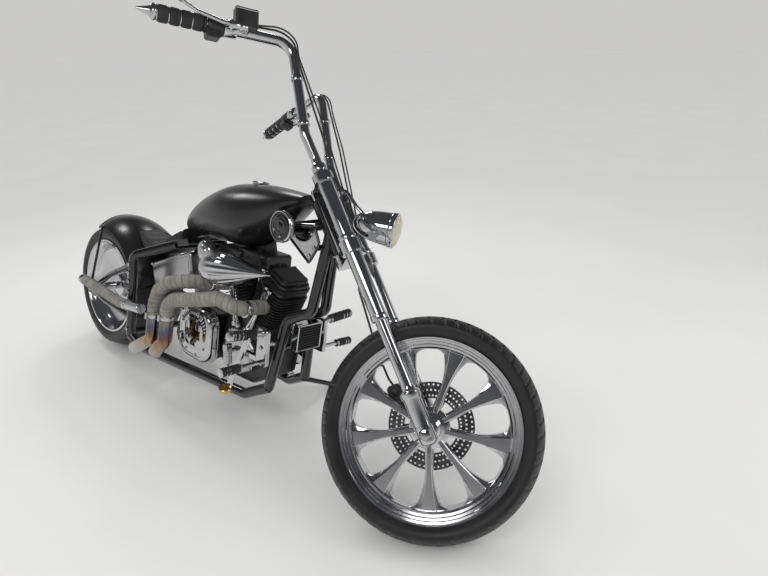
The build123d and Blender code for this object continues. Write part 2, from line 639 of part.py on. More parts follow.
low_pitch, high_pitch = -6.0, 6.0
for _ in range(50):
    mid_pitch = (low_pitch + high_pitch) / 2
    front, rear = drops(mid_pitch)
    if front > rear:
        low_pitch = mid_pitch
    else:
        high_pitch = mid_pitch
pitch_angle = (low_pitch + high_pitch) / 2
lift = -drops(pitch_angle)[1]


def stand_up(shape):
    """From the upright drawing to the leaning bike on the floor."""
    return Pos(0, 0, lift) * (Rot(-lean, 0, 0) * (Rot(0, pitch_angle, 0) * shape))


def place_up(point):
    return leaned(point, pitch_angle) + Vector(0, 0, lift)


steered = [
    "fork_lowers", "fork_tubes", "front_axle", "front_rim", "front_tyre", "front_disc", "front_caliper",
    "brake_hose", "lower_clamp", "upper_clamp", "handlebar_left", "handlebar_right", "grip_left",
    "grip_right", "control_left", "control_right", "reservoir", "headlamp_shell", "headlamp_lens",
    "headlamp_band",
]
for name in nodes:
    shape = nodes[name]
    if name in steered:
        shape = shape.rotate(steer_axis, steer_lock)
    nodes[name] = stand_up(shape)

# Side stand: a knuckle in a fork on the left cradle rail, its foot on the floor
stand_hinge = place_up((1120, 174, 186))
stand_foot = Vector(stand_hinge.X + 80, stand_hinge.Y + 190, 12)
stand_run = stand_foot - stand_hinge
stand_axis = Vector(-1, 0.06, 0.1).cross(stand_run).normalized()
stand = turned(stand_hinge, stand_run, [(0, 10), (30, 12), (stand_run.length, 11)])
stand += Pos(stand_foot.X, stand_foot.Y, 6) * Cylinder(26, 12)
stand += rod(stand_hinge - stand_axis * 12, stand_hinge + stand_axis * 12, 16)
stand -= rod(stand_hinge - stand_axis * 20, stand_hinge + stand_axis * 20, 7 + bearing_gap)
nodes["side_stand"] = stand
lug = rod(stand_hinge - stand_axis * 20, stand_hinge + stand_axis * 20, 7)
inward = (place_up((1120, 100, 186)) - stand_hinge).normalized()
inward = (inward - stand_axis * inward.dot(stand_axis)).normalized()
lug_plane = Plane(origin=stand_hinge, x_dir=inward, z_dir=stand_axis)
for low in (-20, 13):
    lug += extrude(lug_plane.offset(low) * (Circle(15) + Pos(22, 0) * Rectangle(44, 30)), 7)
lug += extrude(lug_plane.offset(-20) * (Pos(34, 0) * Rectangle(20, 30)), 40)
nodes["frame_cradle"] += lug - stand_up(cradle)

# Origin: under the middle of the whole, on the floor
boxes = [shape.bounding_box() for shape in nodes.values()]
low_x, high_x = min(box.min.X for box in boxes), max(box.max.X for box in boxes)
low_y, high_y = min(box.min.Y for box in boxes), max(box.max.Y for box in boxes)
shift = Vector(-(low_x + high_x) / 2, -(low_y + high_y) / 2, 0)

os.makedirs("parts", exist_ok=True)
for name, shape in nodes.items():
    export_step(shape.moved(Location(shift)), f"parts/{name}.step")

for label, point in (
    ("front axle", place_up(steered_center)), ("rear axle", place_up(rear_axle_point)),
    ("steering", place_up(steer_point)), ("stand hinge", stand_hinge), ("stand foot", stand_foot),
):
    print(label, [round(value, 3) for value in point + shift])
for label, direction in (
    ("front axle", leaned(steered_axle, pitch_angle)), ("rear axle", leaned((0, 1, 0), pitch_angle)),
    ("steering", leaned(up_fork, pitch_angle)),
):
    print(label, "direction", [round(value, 6) for value in direction])
print("stand axis", [round(value, 6) for value in stand_axis])
print("pitch", round(pitch_angle, 4), "lift", round(lift, 3), "shift", list(shift))
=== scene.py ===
import json
from math import cos, pi, radians, sin

import bmesh
import bpy
import numpy as np
from mathutils import Matrix, Vector

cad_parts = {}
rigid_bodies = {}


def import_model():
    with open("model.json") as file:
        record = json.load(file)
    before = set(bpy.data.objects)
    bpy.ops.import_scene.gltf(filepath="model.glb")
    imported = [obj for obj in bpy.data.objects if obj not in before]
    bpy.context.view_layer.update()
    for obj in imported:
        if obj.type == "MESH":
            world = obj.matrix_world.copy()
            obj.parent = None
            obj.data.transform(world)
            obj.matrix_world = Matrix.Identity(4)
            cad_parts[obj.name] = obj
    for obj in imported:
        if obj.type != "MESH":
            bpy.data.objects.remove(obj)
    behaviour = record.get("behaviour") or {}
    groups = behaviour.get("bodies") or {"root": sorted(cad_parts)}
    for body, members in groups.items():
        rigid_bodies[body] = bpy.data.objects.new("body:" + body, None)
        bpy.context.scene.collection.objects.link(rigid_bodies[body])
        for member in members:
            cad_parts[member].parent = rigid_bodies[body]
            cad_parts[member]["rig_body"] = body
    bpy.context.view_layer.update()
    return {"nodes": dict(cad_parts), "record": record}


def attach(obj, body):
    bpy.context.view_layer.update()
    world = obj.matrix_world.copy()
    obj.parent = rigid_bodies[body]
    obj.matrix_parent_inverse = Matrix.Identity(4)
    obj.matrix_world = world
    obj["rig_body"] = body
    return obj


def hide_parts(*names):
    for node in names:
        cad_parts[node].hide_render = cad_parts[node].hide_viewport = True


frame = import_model()
scene = bpy.context.scene

# Every piece is drawn on the upright, straight bike in millimetres (x forward from the rear axle, y left,
# z up from the floor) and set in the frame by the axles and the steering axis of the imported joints.
bike = {"rake": 39.5, "wheelbase": 1960.0, "lock": 31.5, "legSide": 133.0, "frontRadius": 370.0,
        "rearRadius": 333.0}
joints = {joint["name"]: joint for joint in frame["record"]["behaviour"]["joints"]}


def unit(values):
    values = np.asarray(values, float)
    return values / np.linalg.norm(values, axis=-1, keepdims=True)


rake = radians(bike["rake"])
leftWay = unit(joints["rear_wheel_turn"]["axis"])
upFork = unit(joints["steering"]["axis"])
outFork = np.cross(leftWay, upFork)
bikeAxes = np.stack([cos(rake) * outFork - sin(rake) * upFork, leftWay,
                     sin(rake) * outFork + cos(rake) * upFork])
bikeOrigin = np.array(joints["rear_wheel_turn"]["pos_m"]) - bike["rearRadius"] / 1000 * bikeAxes[2]
steerPoint = np.array(joints["steering"]["pos_m"])
steerTurn = np.array(Matrix.Rotation(radians(bike["lock"]), 3, Vector(upFork)))


def onBike(points):
    return bikeOrigin + np.asarray(points, float) / 1000 @ bikeAxes


def onFork(points):
    return steerPoint + (onBike(points) - steerPoint) @ steerTurn.T


def asIs(points):
    return np.asarray(points, float) / 1000


placeOf = {"chassis": onBike, "rear_wheel": onBike, "fork": onFork, "front_wheel": onFork, "side_stand": asIs}
ahead, toLeft, toRight, skyward = (1, 0, 0), (0, 1, 0), (0, -1, 0), (0, 0, 1)


def forkPoint(along, out=0.0, side=0.0):
    # up the legs from the front axle, forward of them, to the left
    return np.array([bike["wheelbase"] - along * sin(rake) + out * cos(rake), side,
                     bike["frontRadius"] + along * cos(rake) + out * sin(rake)])


def otherSide(shape):
    # a shape mirrored to the bike's other side, its faces turned back outwards
    points, faces, marks = shape
    return points * [1, -1, 1], [face[:, ::-1] for face in faces], [mark[:, ::-1] for mark in marks]


# Shapes: each is (points, list of face arrays, list of the faces' own (u, v) marks).
def gridShape(points, closeRows=False, closeCols=False, scale=(1.0, 1.0)):
    # points[i, j] joined to its neighbours i+1 and j+1; u counts rows and v counts columns
    rows, cols = points.shape[:2]
    i, j = np.meshgrid(np.arange(rows if closeRows else rows - 1), np.arange(cols if closeCols else cols - 1),
                       indexing="ij")
    corners = [(i, j), (i, j + 1), (i + 1, j + 1), (i + 1, j)]
    faces = np.stack([(a % rows) * cols + b % cols for a, b in corners], -1).reshape(-1, 4)
    marks = np.stack([np.stack([a * scale[0] / rows, b * scale[1] / cols], -1) for a, b in corners], -2)
    return points.reshape(-1, 3), [faces], [marks.reshape(-1, 4, 2)]


def crossPair(way):
    # two directions square to way
    way = unit(way)
    side = unit(np.cross(way, [0, 0, 1]) if abs(way[2]) < 0.9 else np.cross(way, [0, 1, 0]))
    return side, np.cross(side, way)


def latheShape(rows, start, way, sides=64, closed=False):
    # radius(along) turned round the line from start: p = start + way*along + r*(side cos a + up sin a)
    rows = np.array(rows, float)
    way = unit(way)
    side, up = crossPair(way)
    angle = np.linspace(0, 2 * pi, sides, endpoint=False)
    ring = np.cos(angle)[:, None] * side + np.sin(angle)[:, None] * up
    points = np.array(start, float) + rows[:, None, :1] * way + rows[:, None, 1:2] * ring
    if not closed:
        ends = [np.broadcast_to(np.array(start, float) + rows[k, 0] * way, (1, sides, 3)) for k in (0, -1)]
        points = np.concatenate([ends[0], points, ends[1]])
    return gridShape(points, closeRows=closed, closeCols=True)


def ringShape(rows, centre, sides=96):
    # closed outline of (side, radius) turned round a wheel's axle
    return latheShape([(-side, radius) for side, radius in rows], centre, toRight, sides, closed=True)


def bentPath(points, bend=0.0, step=6.0):
    # polyline whose corners are arcs of radius bend, sampled about every step
    points = [np.array(point, float) for point in points]
    out = [points[0][None]]
    for before, corner, after in zip(points, points[1:], points[2:]):
        wayIn, wayOut = unit(corner - before), unit(after - corner)
        turn = np.arccos(np.clip(wayIn @ wayOut, -1, 1))
        if turn < 0.02 or bend <= 0:
            out.append(corner[None])
            continue
        reach = bend * np.tan(turn / 2)
        inward, onward = unit(wayOut - wayIn), unit(wayIn + wayOut)
        middle = corner + inward * bend / np.cos(turn / 2)
        angle = np.linspace(-turn / 2, turn / 2, max(4, int(turn * bend / step) + 3))[:, None]
        out.append(middle + bend * (onward * np.sin(angle) - inward * np.cos(angle)))
    out.append(points[-1][None])
    path = np.concatenate(out)
    return path[np.r_[True, np.linalg.norm(np.diff(path, axis=0), axis=1) > 1e-6]]


def resample(path, step):
    # even steps along a path
    length = np.r_[0, np.cumsum(np.linalg.norm(np.diff(path, axis=0), axis=1))]
    places = np.linspace(0, length[-1], max(2, int(length[-1] / step) + 1))
    return np.stack([np.interp(places, length, path[:, axis]) for axis in range(3)], -1), places


def cappedShape(points):
    # points[i, j] closed round its columns, with each end row drawn to its own middle
    ends = [np.broadcast_to(points[k].mean(0), (1, *points.shape[1:])) for k in (0, -1)]
    return gridShape(np.concatenate([ends[0], points, ends[1]]), closeCols=True)


def tubeShape(points, radius, bend=0.0, sides=24, step=8.0, chamfer=1.5):
    # circle carried along the bent path, p = c(s) + r(s)*(side cos a + up sin a), its ends closed
    path, places = resample(bentPath(points, bend), step)
    way = unit(np.gradient(path, axis=0))
    steep = abs(unit(path[-1] - path[0])[2]) >= 0.8
    side = unit(np.cross(way, toLeft if steep else skyward))
    up = np.cross(side, way)
    width = radius(places) if callable(radius) else np.full(len(places), float(radius))
    angle = np.linspace(0, 2 * pi, sides, endpoint=False)
    ring = np.cos(angle)[:, None] * side[:, None] + np.sin(angle)[:, None] * up[:, None]
    body = path[:, None] + width[:, None, None] * ring
    tips = [np.broadcast_to(path[k], (1, sides, 3)) for k in (0, -1)]
    rims = [(path[k] + (width[k] - chamfer) * ring[k])[None] for k in (0, -1)]
    body[0] += way[0] * chamfer
    body[-1] -= way[-1] * chamfer
    whole = np.concatenate([tips[0], rims[0], body, rims[1], tips[1]])
    return gridShape(whole, closeCols=True, scale=(places[-1], 2 * pi * width.mean()))


def plateShape(outline, low, high, centre=(0, 0, 0), u=ahead, v=skyward, inset=1.5):
    # flat outline in (u, v), thick from low to high along u x v, its edges broken by inset
    outline = np.array(outline, float)
    u, v = unit(u), unit(v)
    normal = np.cross(u, v)
    edge = np.roll(outline, -1, 0) - outline
    inward = unit(np.stack([-edge[:, 1], edge[:, 0]], -1))
    area = np.sum(outline[:, 0] * np.roll(outline[:, 1], -1) - np.roll(outline[:, 0], -1) * outline[:, 1])
    inward *= np.sign(area)
    corner = inward + np.roll(inward, 1, 0)
    corner /= np.maximum(np.sum(corner * inward, -1, keepdims=True), 0.4)
    small = outline + corner * inset
    levels = [(small, low), (outline, low + inset), (outline, high - inset), (small, high)]
    points = np.stack([np.array(centre, float) + flat[:, :1] * u + flat[:, 1:] * v + level * normal
                       for flat, level in levels])
    shape = gridShape(points, closeCols=True)
    count = len(outline)
    caps = [np.arange(count)[None, ::-1], np.arange(3 * count, 4 * count)[None]]
    return shape[0], shape[1] + caps, shape[2] + [np.zeros((1, count, 2))] * 2


def sweepShape(points, section, bend=0.0, step=6.0, lift=skyward):
    # flat outline (a, b) carried along the bent path, a along lift x way turned square to it
    path, _ = resample(bentPath(points, bend), step)
    way = unit(np.gradient(path, axis=0))
    lift = np.array(lift, float)
    across = unit(lift - (way @ lift)[:, None] * way)
    normal = np.cross(way, across)
    if abs(lift[2]) > 0.5:
        across, normal = normal, across
    section = np.array(section, float)
    return cappedShape(path[:, None] + section[None, :, :1] * across[:, None]
                       + section[None, :, 1:] * normal[:, None])


def screws(spots, way, levels, radii, sides=20):
    # socket heads: low, high, top and floor along way, and the radii of the head, its rim and its socket
    (low, high, top, floor), (head, rim, socket) = levels, radii
    rows = [(low, head), (high, head), (top, rim), (top, socket), (floor, socket)]
    return [latheShape(rows, spot, way, sides) for spot in spots]


def repeatRows(rows, start, pitch, count):
    # the same (along, radius) rows at every pitch
    return [(start + pitch * k + along, radius) for k in range(count) for along, radius in rows]


def bothSides(shapes):
    return shapes + [otherSide(shape) for shape in shapes]


def roundOutline(corners, radius):
    # flat polygon with its corners turned into arcs
    corners = [np.array([x, 0, z], float) for x, z in corners]
    start = (corners[0] + corners[-1]) / 2
    path = bentPath([start] + corners + [start], radius, radius / 5)[:-1]
    return path[:, [0, 2]]


def roundedOutline(width, height, corner, count=8, centre=(0, 0)):
    angle = np.linspace(0, pi / 2, count)
    arcs = []
    for sx, sy, turn in ((1, 1, 0), (-1, 1, pi / 2), (-1, -1, pi), (1, -1, 1.5 * pi)):
        x, y = centre[0] + (width / 2 - corner) * sx, centre[1] + (height / 2 - corner) * sy
        arcs.append(np.stack([x + corner * np.cos(angle + turn), y + corner * np.sin(angle + turn)], -1))
    return np.concatenate(arcs)


def smoothRows(rows, count):
    # rows of numbers joined by a smooth curve through them, as count even steps
    rows = np.array(rows, float)
    place = np.linspace(0, len(rows) - 1, count)
    k = np.clip(place.astype(int), 0, len(rows) - 2)
    t = (place - k)[:, None]
    slope = np.gradient(rows, axis=0)
    a, b, ta, tb = rows[k], rows[k + 1], slope[k], slope[k + 1]
    return ((2 * t**3 - 3 * t**2 + 1) * a + (t**3 - 2 * t**2 + t) * ta + (3 * t**2 - 2 * t**3) * b
            + (t**3 - t**2) * tb)


def addPiece(name, mesh, material, body, replaced, sharp):
    # smooth faces with real edges, one material, riding on one body
    mesh.polygons.foreach_set("use_smooth", np.ones(len(mesh.polygons), bool))
    mesh.set_sharp_from_angle(angle=radians(sharp))
    mesh.materials.append(material)
    piece = bpy.data.objects.new(name, mesh)
    scene.collection.objects.link(piece)
    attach(piece, body)
    if replaced:
        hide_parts(replaced)


def makePiece(name, shapes, material, body, replaced=None, sharp=38):
    place = placeOf[body]
    points, loops, sizes, marks, offset = [], [], [], [], 0
    for vertices, faces, faceMarks in shapes:
        points.append(place(vertices))
        for face, mark in zip(faces, faceMarks):
            loops.append((face + offset).ravel())
            sizes.append(np.full(len(face), face.shape[1]))
            marks.append(np.asarray(mark, float).reshape(-1, 2))
        offset += len(vertices)
    points, loops, sizes, marks = (np.concatenate(part) for part in (points, loops, sizes, marks))
    mesh = bpy.data.meshes.new(name)
    mesh.vertices.add(len(points))
    mesh.vertices.foreach_set("co", points.ravel())
    mesh.loops.add(len(loops))
    mesh.loops.foreach_set("vertex_index", loops.astype(np.int32))
    mesh.polygons.add(len(sizes))
    mesh.polygons.foreach_set("loop_start", np.r_[0, np.cumsum(sizes)[:-1]].astype(np.int32))
    mesh.update(calc_edges=True)
    mesh.uv_layers.new(name="alongAround").data.foreach_set("uv", (marks / 1000).ravel())
    shell = bmesh.new()
    shell.from_mesh(mesh)
    bmesh.ops.remove_doubles(shell, verts=shell.verts, dist=2e-6)
    bmesh.ops.dissolve_degenerate(shell, edges=shell.edges, dist=1e-6)
    bmesh.ops.recalc_face_normals(shell, faces=shell.faces)
    shell.to_mesh(mesh)
    shell.free()
    addPiece(name, mesh, material, body, replaced, sharp)


def dressNode(node, material):
    # a merged copy of a CAD node
    source = frame["nodes"][node]
    mesh = source.data.copy()
    mesh.name = node + "_dressed"
    shell = bmesh.new()
    shell.from_mesh(mesh)
    bmesh.ops.remove_doubles(shell, verts=shell.verts, dist=2e-6)
    bmesh.ops.dissolve_limit(shell, angle_limit=radians(1.0), verts=shell.verts, edges=shell.edges)
    shell.to_mesh(mesh)
    shell.free()
    if mesh.has_custom_normals:
        mesh.attributes.remove(mesh.attributes["custom_normal"])
    mesh.materials.clear()
    addPiece(mesh.name, mesh, material, source["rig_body"], node, 32)


# Materials
def newMaterial(name):
    material = bpy.data.materials.new(name)
    material.use_nodes = True
    return material, material.node_tree, material.node_tree.nodes["Principled BSDF"].inputs


def feed(tree, socket, value):
    # an input takes another node's output, or a number or colour as it stands
    if isinstance(value, bpy.types.NodeSocket):
        tree.links.new(value, socket)
    else:
        socket.default_value = (*value, 1) if socket.type == "RGBA" else value


def addNode(tree, kind, values, **settings):
    node = tree.nodes.new("ShaderNode" + kind)
    for key, setting in settings.items():
        setattr(node, key, setting)
    for key, value in values.items():
        feed(tree, node.inputs[key], value)
    return node.outputs


def compute(tree, operation, *values):
    return addNode(tree, "Math", dict(enumerate(values)), operation=operation)[0]


def addNoise(tree, scale, detail=4.0, stretch=(1, 1, 1)):
    place = addNode(tree, "TexCoord", {})["Object"]
    place = addNode(tree, "Mapping", {"Vector": place, "Scale": stretch})["Vector"]
    values = {"Vector": place, "Scale": scale, "Detail": detail, "Roughness": 0.55}
    return addNode(tree, "TexNoise", values)["Fac"]


def mapRange(tree, source, low, high, fromLow=0.3, fromHigh=0.7):
    values = {"Value": source, "From Min": fromLow, "From Max": fromHigh, "To Min": low, "To Max": high}
    return addNode(tree, "MapRange", values)["Result"]


def mixColours(tree, factor, first, second):
    return addNode(tree, "Mix", {"Factor": factor, "A": first, "B": second}, data_type="RGBA")["Result"]


def addBump(tree, height, strength, distance, shader, before=None):
    values = {"Strength": strength, "Distance": distance, "Height": height}
    if before is not None:
        values["Normal"] = before
    normal = addNode(tree, "Bump", values)["Normal"]
    tree.links.new(normal, shader["Normal"])
    return normal


def paintMaterial(name, dark, light, rough, bump, cloud, grain, coat=0.0, coatRough=0.3, metal=0.0):
    material, tree, shader = newMaterial(name)
    broad, fine = addNoise(tree, cloud, 3), addNoise(tree, grain, 3)
    feed(tree, shader["Base Color"], mixColours(tree, mapRange(tree, broad, 0, 1), dark, light))
    feed(tree, shader["Roughness"], mapRange(tree, broad, *rough))
    addBump(tree, fine, bump, 0.0006, shader)
    feed(tree, shader["Coat Weight"], coat)
    feed(tree, shader["Coat Roughness"], coatRough)
    feed(tree, shader["Metallic"], metal)
    return material


satinPaint = paintMaterial("satinBlackPaint", (0.006, 0.006, 0.0065), (0.011, 0.011, 0.012), (0.25, 0.31),
                           0.04, cloud=6.0, grain=900.0, coat=0.15, coatRough=0.2)
glossPaint = paintMaterial("glossBlackPaint", (0.004, 0.004, 0.005), (0.009, 0.009, 0.010), (0.12, 0.2), 0.03,
                           cloud=9.0, grain=500.0, coat=0.7, coatRough=0.06)
engineBlack = paintMaterial("wrinkleBlack", (0.007, 0.007, 0.007), (0.019, 0.019, 0.020), (0.3, 0.44), 0.3,
                            cloud=14.0, grain=650.0, coat=0.1)
blackPlastic = paintMaterial("blackPlastic", (0.012, 0.012, 0.012), (0.022, 0.022, 0.023), (0.36, 0.46), 0.15,
                             cloud=20.0, grain=1200.0)
blackRubber = paintMaterial("blackRubber", (0.012, 0.012, 0.012), (0.026, 0.025, 0.025), (0.5, 0.62), 0.2,
                            cloud=24.0, grain=800.0)
tyreRubber = paintMaterial("tyreRubber", (0.008, 0.008, 0.008), (0.016, 0.0155, 0.015), (0.36, 0.5), 0.16,
                           cloud=11.0, grain=700.0)
seatLeather = paintMaterial("seatLeather", (0.012, 0.011, 0.011), (0.026, 0.025, 0.024), (0.36, 0.5), 0.4,
                            cloud=18.0, grain=420.0)
chrome = paintMaterial("chrome", (0.50, 0.505, 0.515), (0.58, 0.585, 0.595), (0.03, 0.07), 0.012,
                       cloud=16.0, grain=260.0, metal=1.0)
polishedAluminium = paintMaterial("polishedAluminium", (0.54, 0.54, 0.555), (0.64, 0.64, 0.655),
                                  (0.08, 0.15), 0.025, cloud=12.0, grain=420.0, metal=1.0)
brushedAluminium = paintMaterial("brushedAluminium", (0.44, 0.44, 0.45), (0.60, 0.60, 0.61), (0.16, 0.26),
                                 0.08, cloud=7.0, grain=700.0, metal=1.0)
castAluminium = paintMaterial("castAluminium", (0.42, 0.42, 0.43), (0.56, 0.56, 0.57), (0.2, 0.32), 0.2,
                              cloud=18.0, grain=500.0, metal=1.0)
discSteel = paintMaterial("discSteel", (0.10, 0.10, 0.105), (0.17, 0.17, 0.175), (0.22, 0.34), 0.1,
                          cloud=30.0, grain=900.0, metal=1.0)
brass = paintMaterial("pedalBrass", (0.62, 0.42, 0.16), (0.74, 0.52, 0.22), (0.12, 0.22), 0.03,
                      cloud=18.0, grain=400.0, metal=1.0)


def heatedMaterial(settings):
    # chrome that has turned straw, bronze and blue where it is hottest, up by the wraps, in uneven streaks
    material, tree, shader = newMaterial("heatedChrome")
    place = addNode(tree, "TexCoord", {})["Object"]
    high = addNode(tree, "SeparateXYZ", {"Vector": place})["Z"]
    streaks = addNoise(tree, 9.0, 4, (7, 7, 1))
    height = compute(tree, "MULTIPLY_ADD", streaks, settings["uneven"], high)
    ramp = tree.nodes.new("ShaderNodeValToRGB")
    feed(tree, ramp.inputs["Fac"], mapRange(tree, height, 0, 1, settings["low"], settings["high"]))
    stops = ramp.color_ramp.elements
    while len(stops) < len(settings["tints"]):
        stops.new(0.5)
    for stop, (spot, tint) in zip(stops, settings["tints"]):
        stop.position, stop.color = spot, (*tint, 1)
    feed(tree, shader["Base Color"], ramp.outputs["Color"])
    feed(tree, shader["Roughness"], mapRange(tree, streaks, 0.05, 0.14))
    feed(tree, shader["Metallic"], 1.0)
    return material


pipeChrome = heatedMaterial({"low": 0.31, "high": 0.50, "uneven": 0.09, "tints": (
    (0.0, (0.52, 0.51, 0.50)), (0.3, (0.40, 0.36, 0.32)), (0.5, (0.36, 0.22, 0.11)),
    (0.68, (0.16, 0.10, 0.09)), (0.84, (0.10, 0.11, 0.16)), (1.0, (0.22, 0.20, 0.19)))})


def wrapMaterial(settings):
    # woven tape wound round a pipe: turns of tape along u, threads both ways, painted shade in the groove at
    # the start of each turn and where the threads cross
    material, tree, shader = newMaterial("exhaustWrap")
    marks = addNode(tree, "UVMap", {})["UV"]
    parts = addNode(tree, "SeparateXYZ", {"Vector": marks})

    def wave(along, lean, length):
        # fraction((mark + lean * the other mark) / length)
        slanted = compute(tree, "MULTIPLY_ADD", parts[1 - along], lean, parts[along])
        return compute(tree, "FRACT", compute(tree, "MULTIPLY", slanted, 1 / length))

    turns = wave(0, settings["lean"], settings["tape"])
    weave = compute(tree, "MULTIPLY", wave(0, settings["lean"], settings["thread"]),
                    wave(1, 0.0, settings["thread"]))
    cloud = mapRange(tree, addNoise(tree, 26, 5), 0, 1)
    # painted shade: the start of each turn, in the groove under the turn before, takes the dark groove colour
    shaded = mixColours(tree, mapRange(tree, turns, 0.0, 1.0, 0.0, 0.16), settings["grooveShade"],
                        mixColours(tree, cloud, settings["dark"], settings["light"]))
    # painted shade where the threads cross
    feed(tree, shader["Base Color"], mixColours(tree, mapRange(tree, weave, 0.0, 0.25, 0.2, 0.8), shaded,
                                                settings["grooveShade"]))
    feed(tree, shader["Roughness"], 0.85)
    first = addBump(tree, mapRange(tree, turns, 0.0, 1.0, 0.0, 1.0), 0.9, 0.0016, shader)
    addBump(tree, weave, 0.5, 0.0006, shader, first)
    return material


# the last colour is painted shade for the grooves between the turns and the threads
exhaustWrap = wrapMaterial({"tape": 0.024, "lean": 0.16, "thread": 0.0022, "dark": (0.19, 0.18, 0.165),
                            "light": (0.33, 0.315, 0.29), "grooveShade": (0.07, 0.065, 0.06)})


def glassMaterial(settings):
    material, tree, shader = newMaterial("lampGlass")
    for key in ("Base Color", "Roughness", "Transmission Weight", "IOR"):
        feed(tree, shader[key], settings[key])
    place = addNode(tree, "TexCoord", {})["Object"]
    ribs = addNode(tree, "TexWave", {"Vector": place, "Scale": settings["ribs"], "Distortion": 0.4})["Fac"]
    addBump(tree, ribs, 0.4, 0.001, shader)
    return material


lampGlass = glassMaterial({"Base Color": (0.96, 0.93, 0.80), "Roughness": 0.06, "Transmission Weight": 0.75,
                           "IOR": 1.45, "ribs": 28})
print("materials ready")

# Front wheel: stepped hoop, flared spokes with a raised middle, hub
frontWheel = {"spokes": 9, "phase": 6.0, "lip": 300.0, "bead": 292.0, "seat": 50.32, "hubOut": 54.0}
frontCentre = np.array([bike["wheelbase"], 0, bike["frontRadius"]])


def spokeShape(angle):
    # outline carried out along the spoke: half width w(r) narrow, then flaring; depth d(t) with a ridge
    radius = np.concatenate([np.linspace(40, 236, 30), np.linspace(240, 264, 10)])
    flare = np.clip((radius - 135) / 119, 0, None)**2.0
    lip = np.clip((radius - 242) / 22, 0, 1)**2.2
    width = 16 - 2.5 * np.clip((radius - 40) / 90, 0, 1) + 31 * flare + 36 * lip
    ridge = 8.5 + 17 * np.clip((radius - 120) / 134, 0, 1)**1.7
    high = np.where(radius < 70, 21.0, 21.5)
    rows = []
    across = [(-1.0, 0.0), (-1.0, 0.62), (-0.93, 0.93), (-0.8, 1.0)]
    for sign in (1, -1):
        band = [(f * width, sign * depth * 13.0) for f, depth in across]
        band += [(-ridge - 1.5, sign * 14.0), (-ridge, sign * (high - 1.5)), (-ridge + 2, sign * high),
                 (ridge - 2, sign * high), (ridge, sign * (high - 1.5)), (ridge + 1.5, sign * 14.0)]
        band += [(-f * width, sign * depth * 13.0) for f, depth in across[::-1]]
        rows += band if sign == 1 else band[::-1][1:-1]
    section = np.stack([np.stack([np.broadcast_to(a, radius.shape), np.broadcast_to(b, radius.shape)], -1)
                        for a, b in rows], 1)
    swing = radians(angle)
    outward, along = np.array([cos(swing), 0, sin(swing)]), np.array([-sin(swing), 0, cos(swing)])
    bow = section[..., :1] / 264.0
    return cappedShape(frontCentre + radius[:, None, None] * outward * (1 - 0.5 * bow**2)
                       + section[..., :1] * along + section[..., 1:] * np.array(toRight, float))


def hoopRows(seat, bead, lip, wall):
    # one half of a rim's outline, from the middle of the drop out over the stepped lip, then back inside
    steps = [(-22, 38), (-15, 33), (-13, 26), (-8, 23), (-6, 16), (-1, 14), (1, 7), (4, 6), (5, 2), (3.5, 0),
             (0, 0)]
    outer = [(0, lip - 40), (28, lip - 40)] + [(seat + out, lip - drop) for out, drop in steps]
    inner = [(seat, bead), (seat - 14, bead), (seat - 22, bead - wall), (0, bead - wall)]
    half = outer + inner
    return half + [(-side, radius) for side, radius in half[::-1][1:-1]]


hub = latheShape([(0, 30), (1.5, 34), (9, 34), (10, 38), (12, 39.5), (29, 39.5), (31, 41), (33, 52), (36, 64),
                  (40, 69), (68, 69), (72, 64), (75, 52), (78, 42), (80, 40), (97, 38), (99, 35), (104, 31),
                  (106, 27), (106, 12.6), (0, 12.6)], frontCentre + [0, frontWheel["hubOut"], 0], toRight, 96,
                 closed=True)
hoop = ringShape(hoopRows(frontWheel["seat"], frontWheel["bead"], frontWheel["lip"], 15), frontCentre, 192)
spokes = [spokeShape(frontWheel["phase"] + 360 / frontWheel["spokes"] * k)
          for k in range(frontWheel["spokes"])]
makePiece("front_wheel_metal", [hoop, hub] + spokes, polishedAluminium, "front_wheel", "front_rim", sharp=30)


def tyreShape(centre, grooves, radius, width, bead, lip, seatShare, around, across):
    # tyre outline of (side, radius) points, with the tread pressed in by a groove pattern of (angle, place)
    half, seat = width / 2, width / 2 * seatShare
    edge, shoulder = half * 0.94, radius - (radius - lip) * 0.40
    crown = (edge**2 + (radius - shoulder)**2) / (2 * (radius - shoulder))
    swing = np.arcsin(edge / crown)
    t = np.linspace(-swing, swing, across)
    tread = np.stack([crown * np.sin(t), radius - crown + crown * np.cos(t)], -1)
    bulge = np.linspace(0, 1, 14)[1:-1, None]
    wallEnds = np.array([[edge, shoulder], [seat, lip + 1]])
    wallMid = np.array([half * 1.035, (lip + shoulder) / 2 + 2])
    wall = (1 - bulge)**2 * wallEnds[0] + 2 * bulge * (1 - bulge) * wallMid + bulge**2 * wallEnds[1]
    wall[:, 0] = np.minimum(wall[:, 0], half)
    arch = np.linspace(0, pi, 12)
    inner = np.stack([(seat - 13) * np.cos(arch), lip + 3 + (radius - 14 - lip - 3) * np.sin(arch)], -1)
    beads = np.array([[seat, lip + 1], [seat, bead], [seat - 13, bead]])
    outline = np.concatenate([tread, wall, beads, inner, beads[::-1] * [-1, 1], wall[::-1] * [-1, 1]])
    mark = np.r_[np.linspace(-1, 1, across), np.full(len(outline) - across, 9.0)]
    angle = np.linspace(0, 2 * pi, around, endpoint=False)
    out = outline[None, :, 1] - grooves(angle[:, None], mark[None])
    points = np.stack([centre[0] + out * np.cos(angle)[:, None],
                       np.broadcast_to(centre[1] + outline[None, :, 0], out.shape),
                       centre[2] + out * np.sin(angle)[:, None]], -1)
    return gridShape(points, closeRows=True, closeCols=True)


def bandOf(value, middle, half, soft):
    # 1 inside middle +- half, falling to 0 over soft
    return np.clip((half + soft - np.abs(value - middle)) / soft, 0, 1)


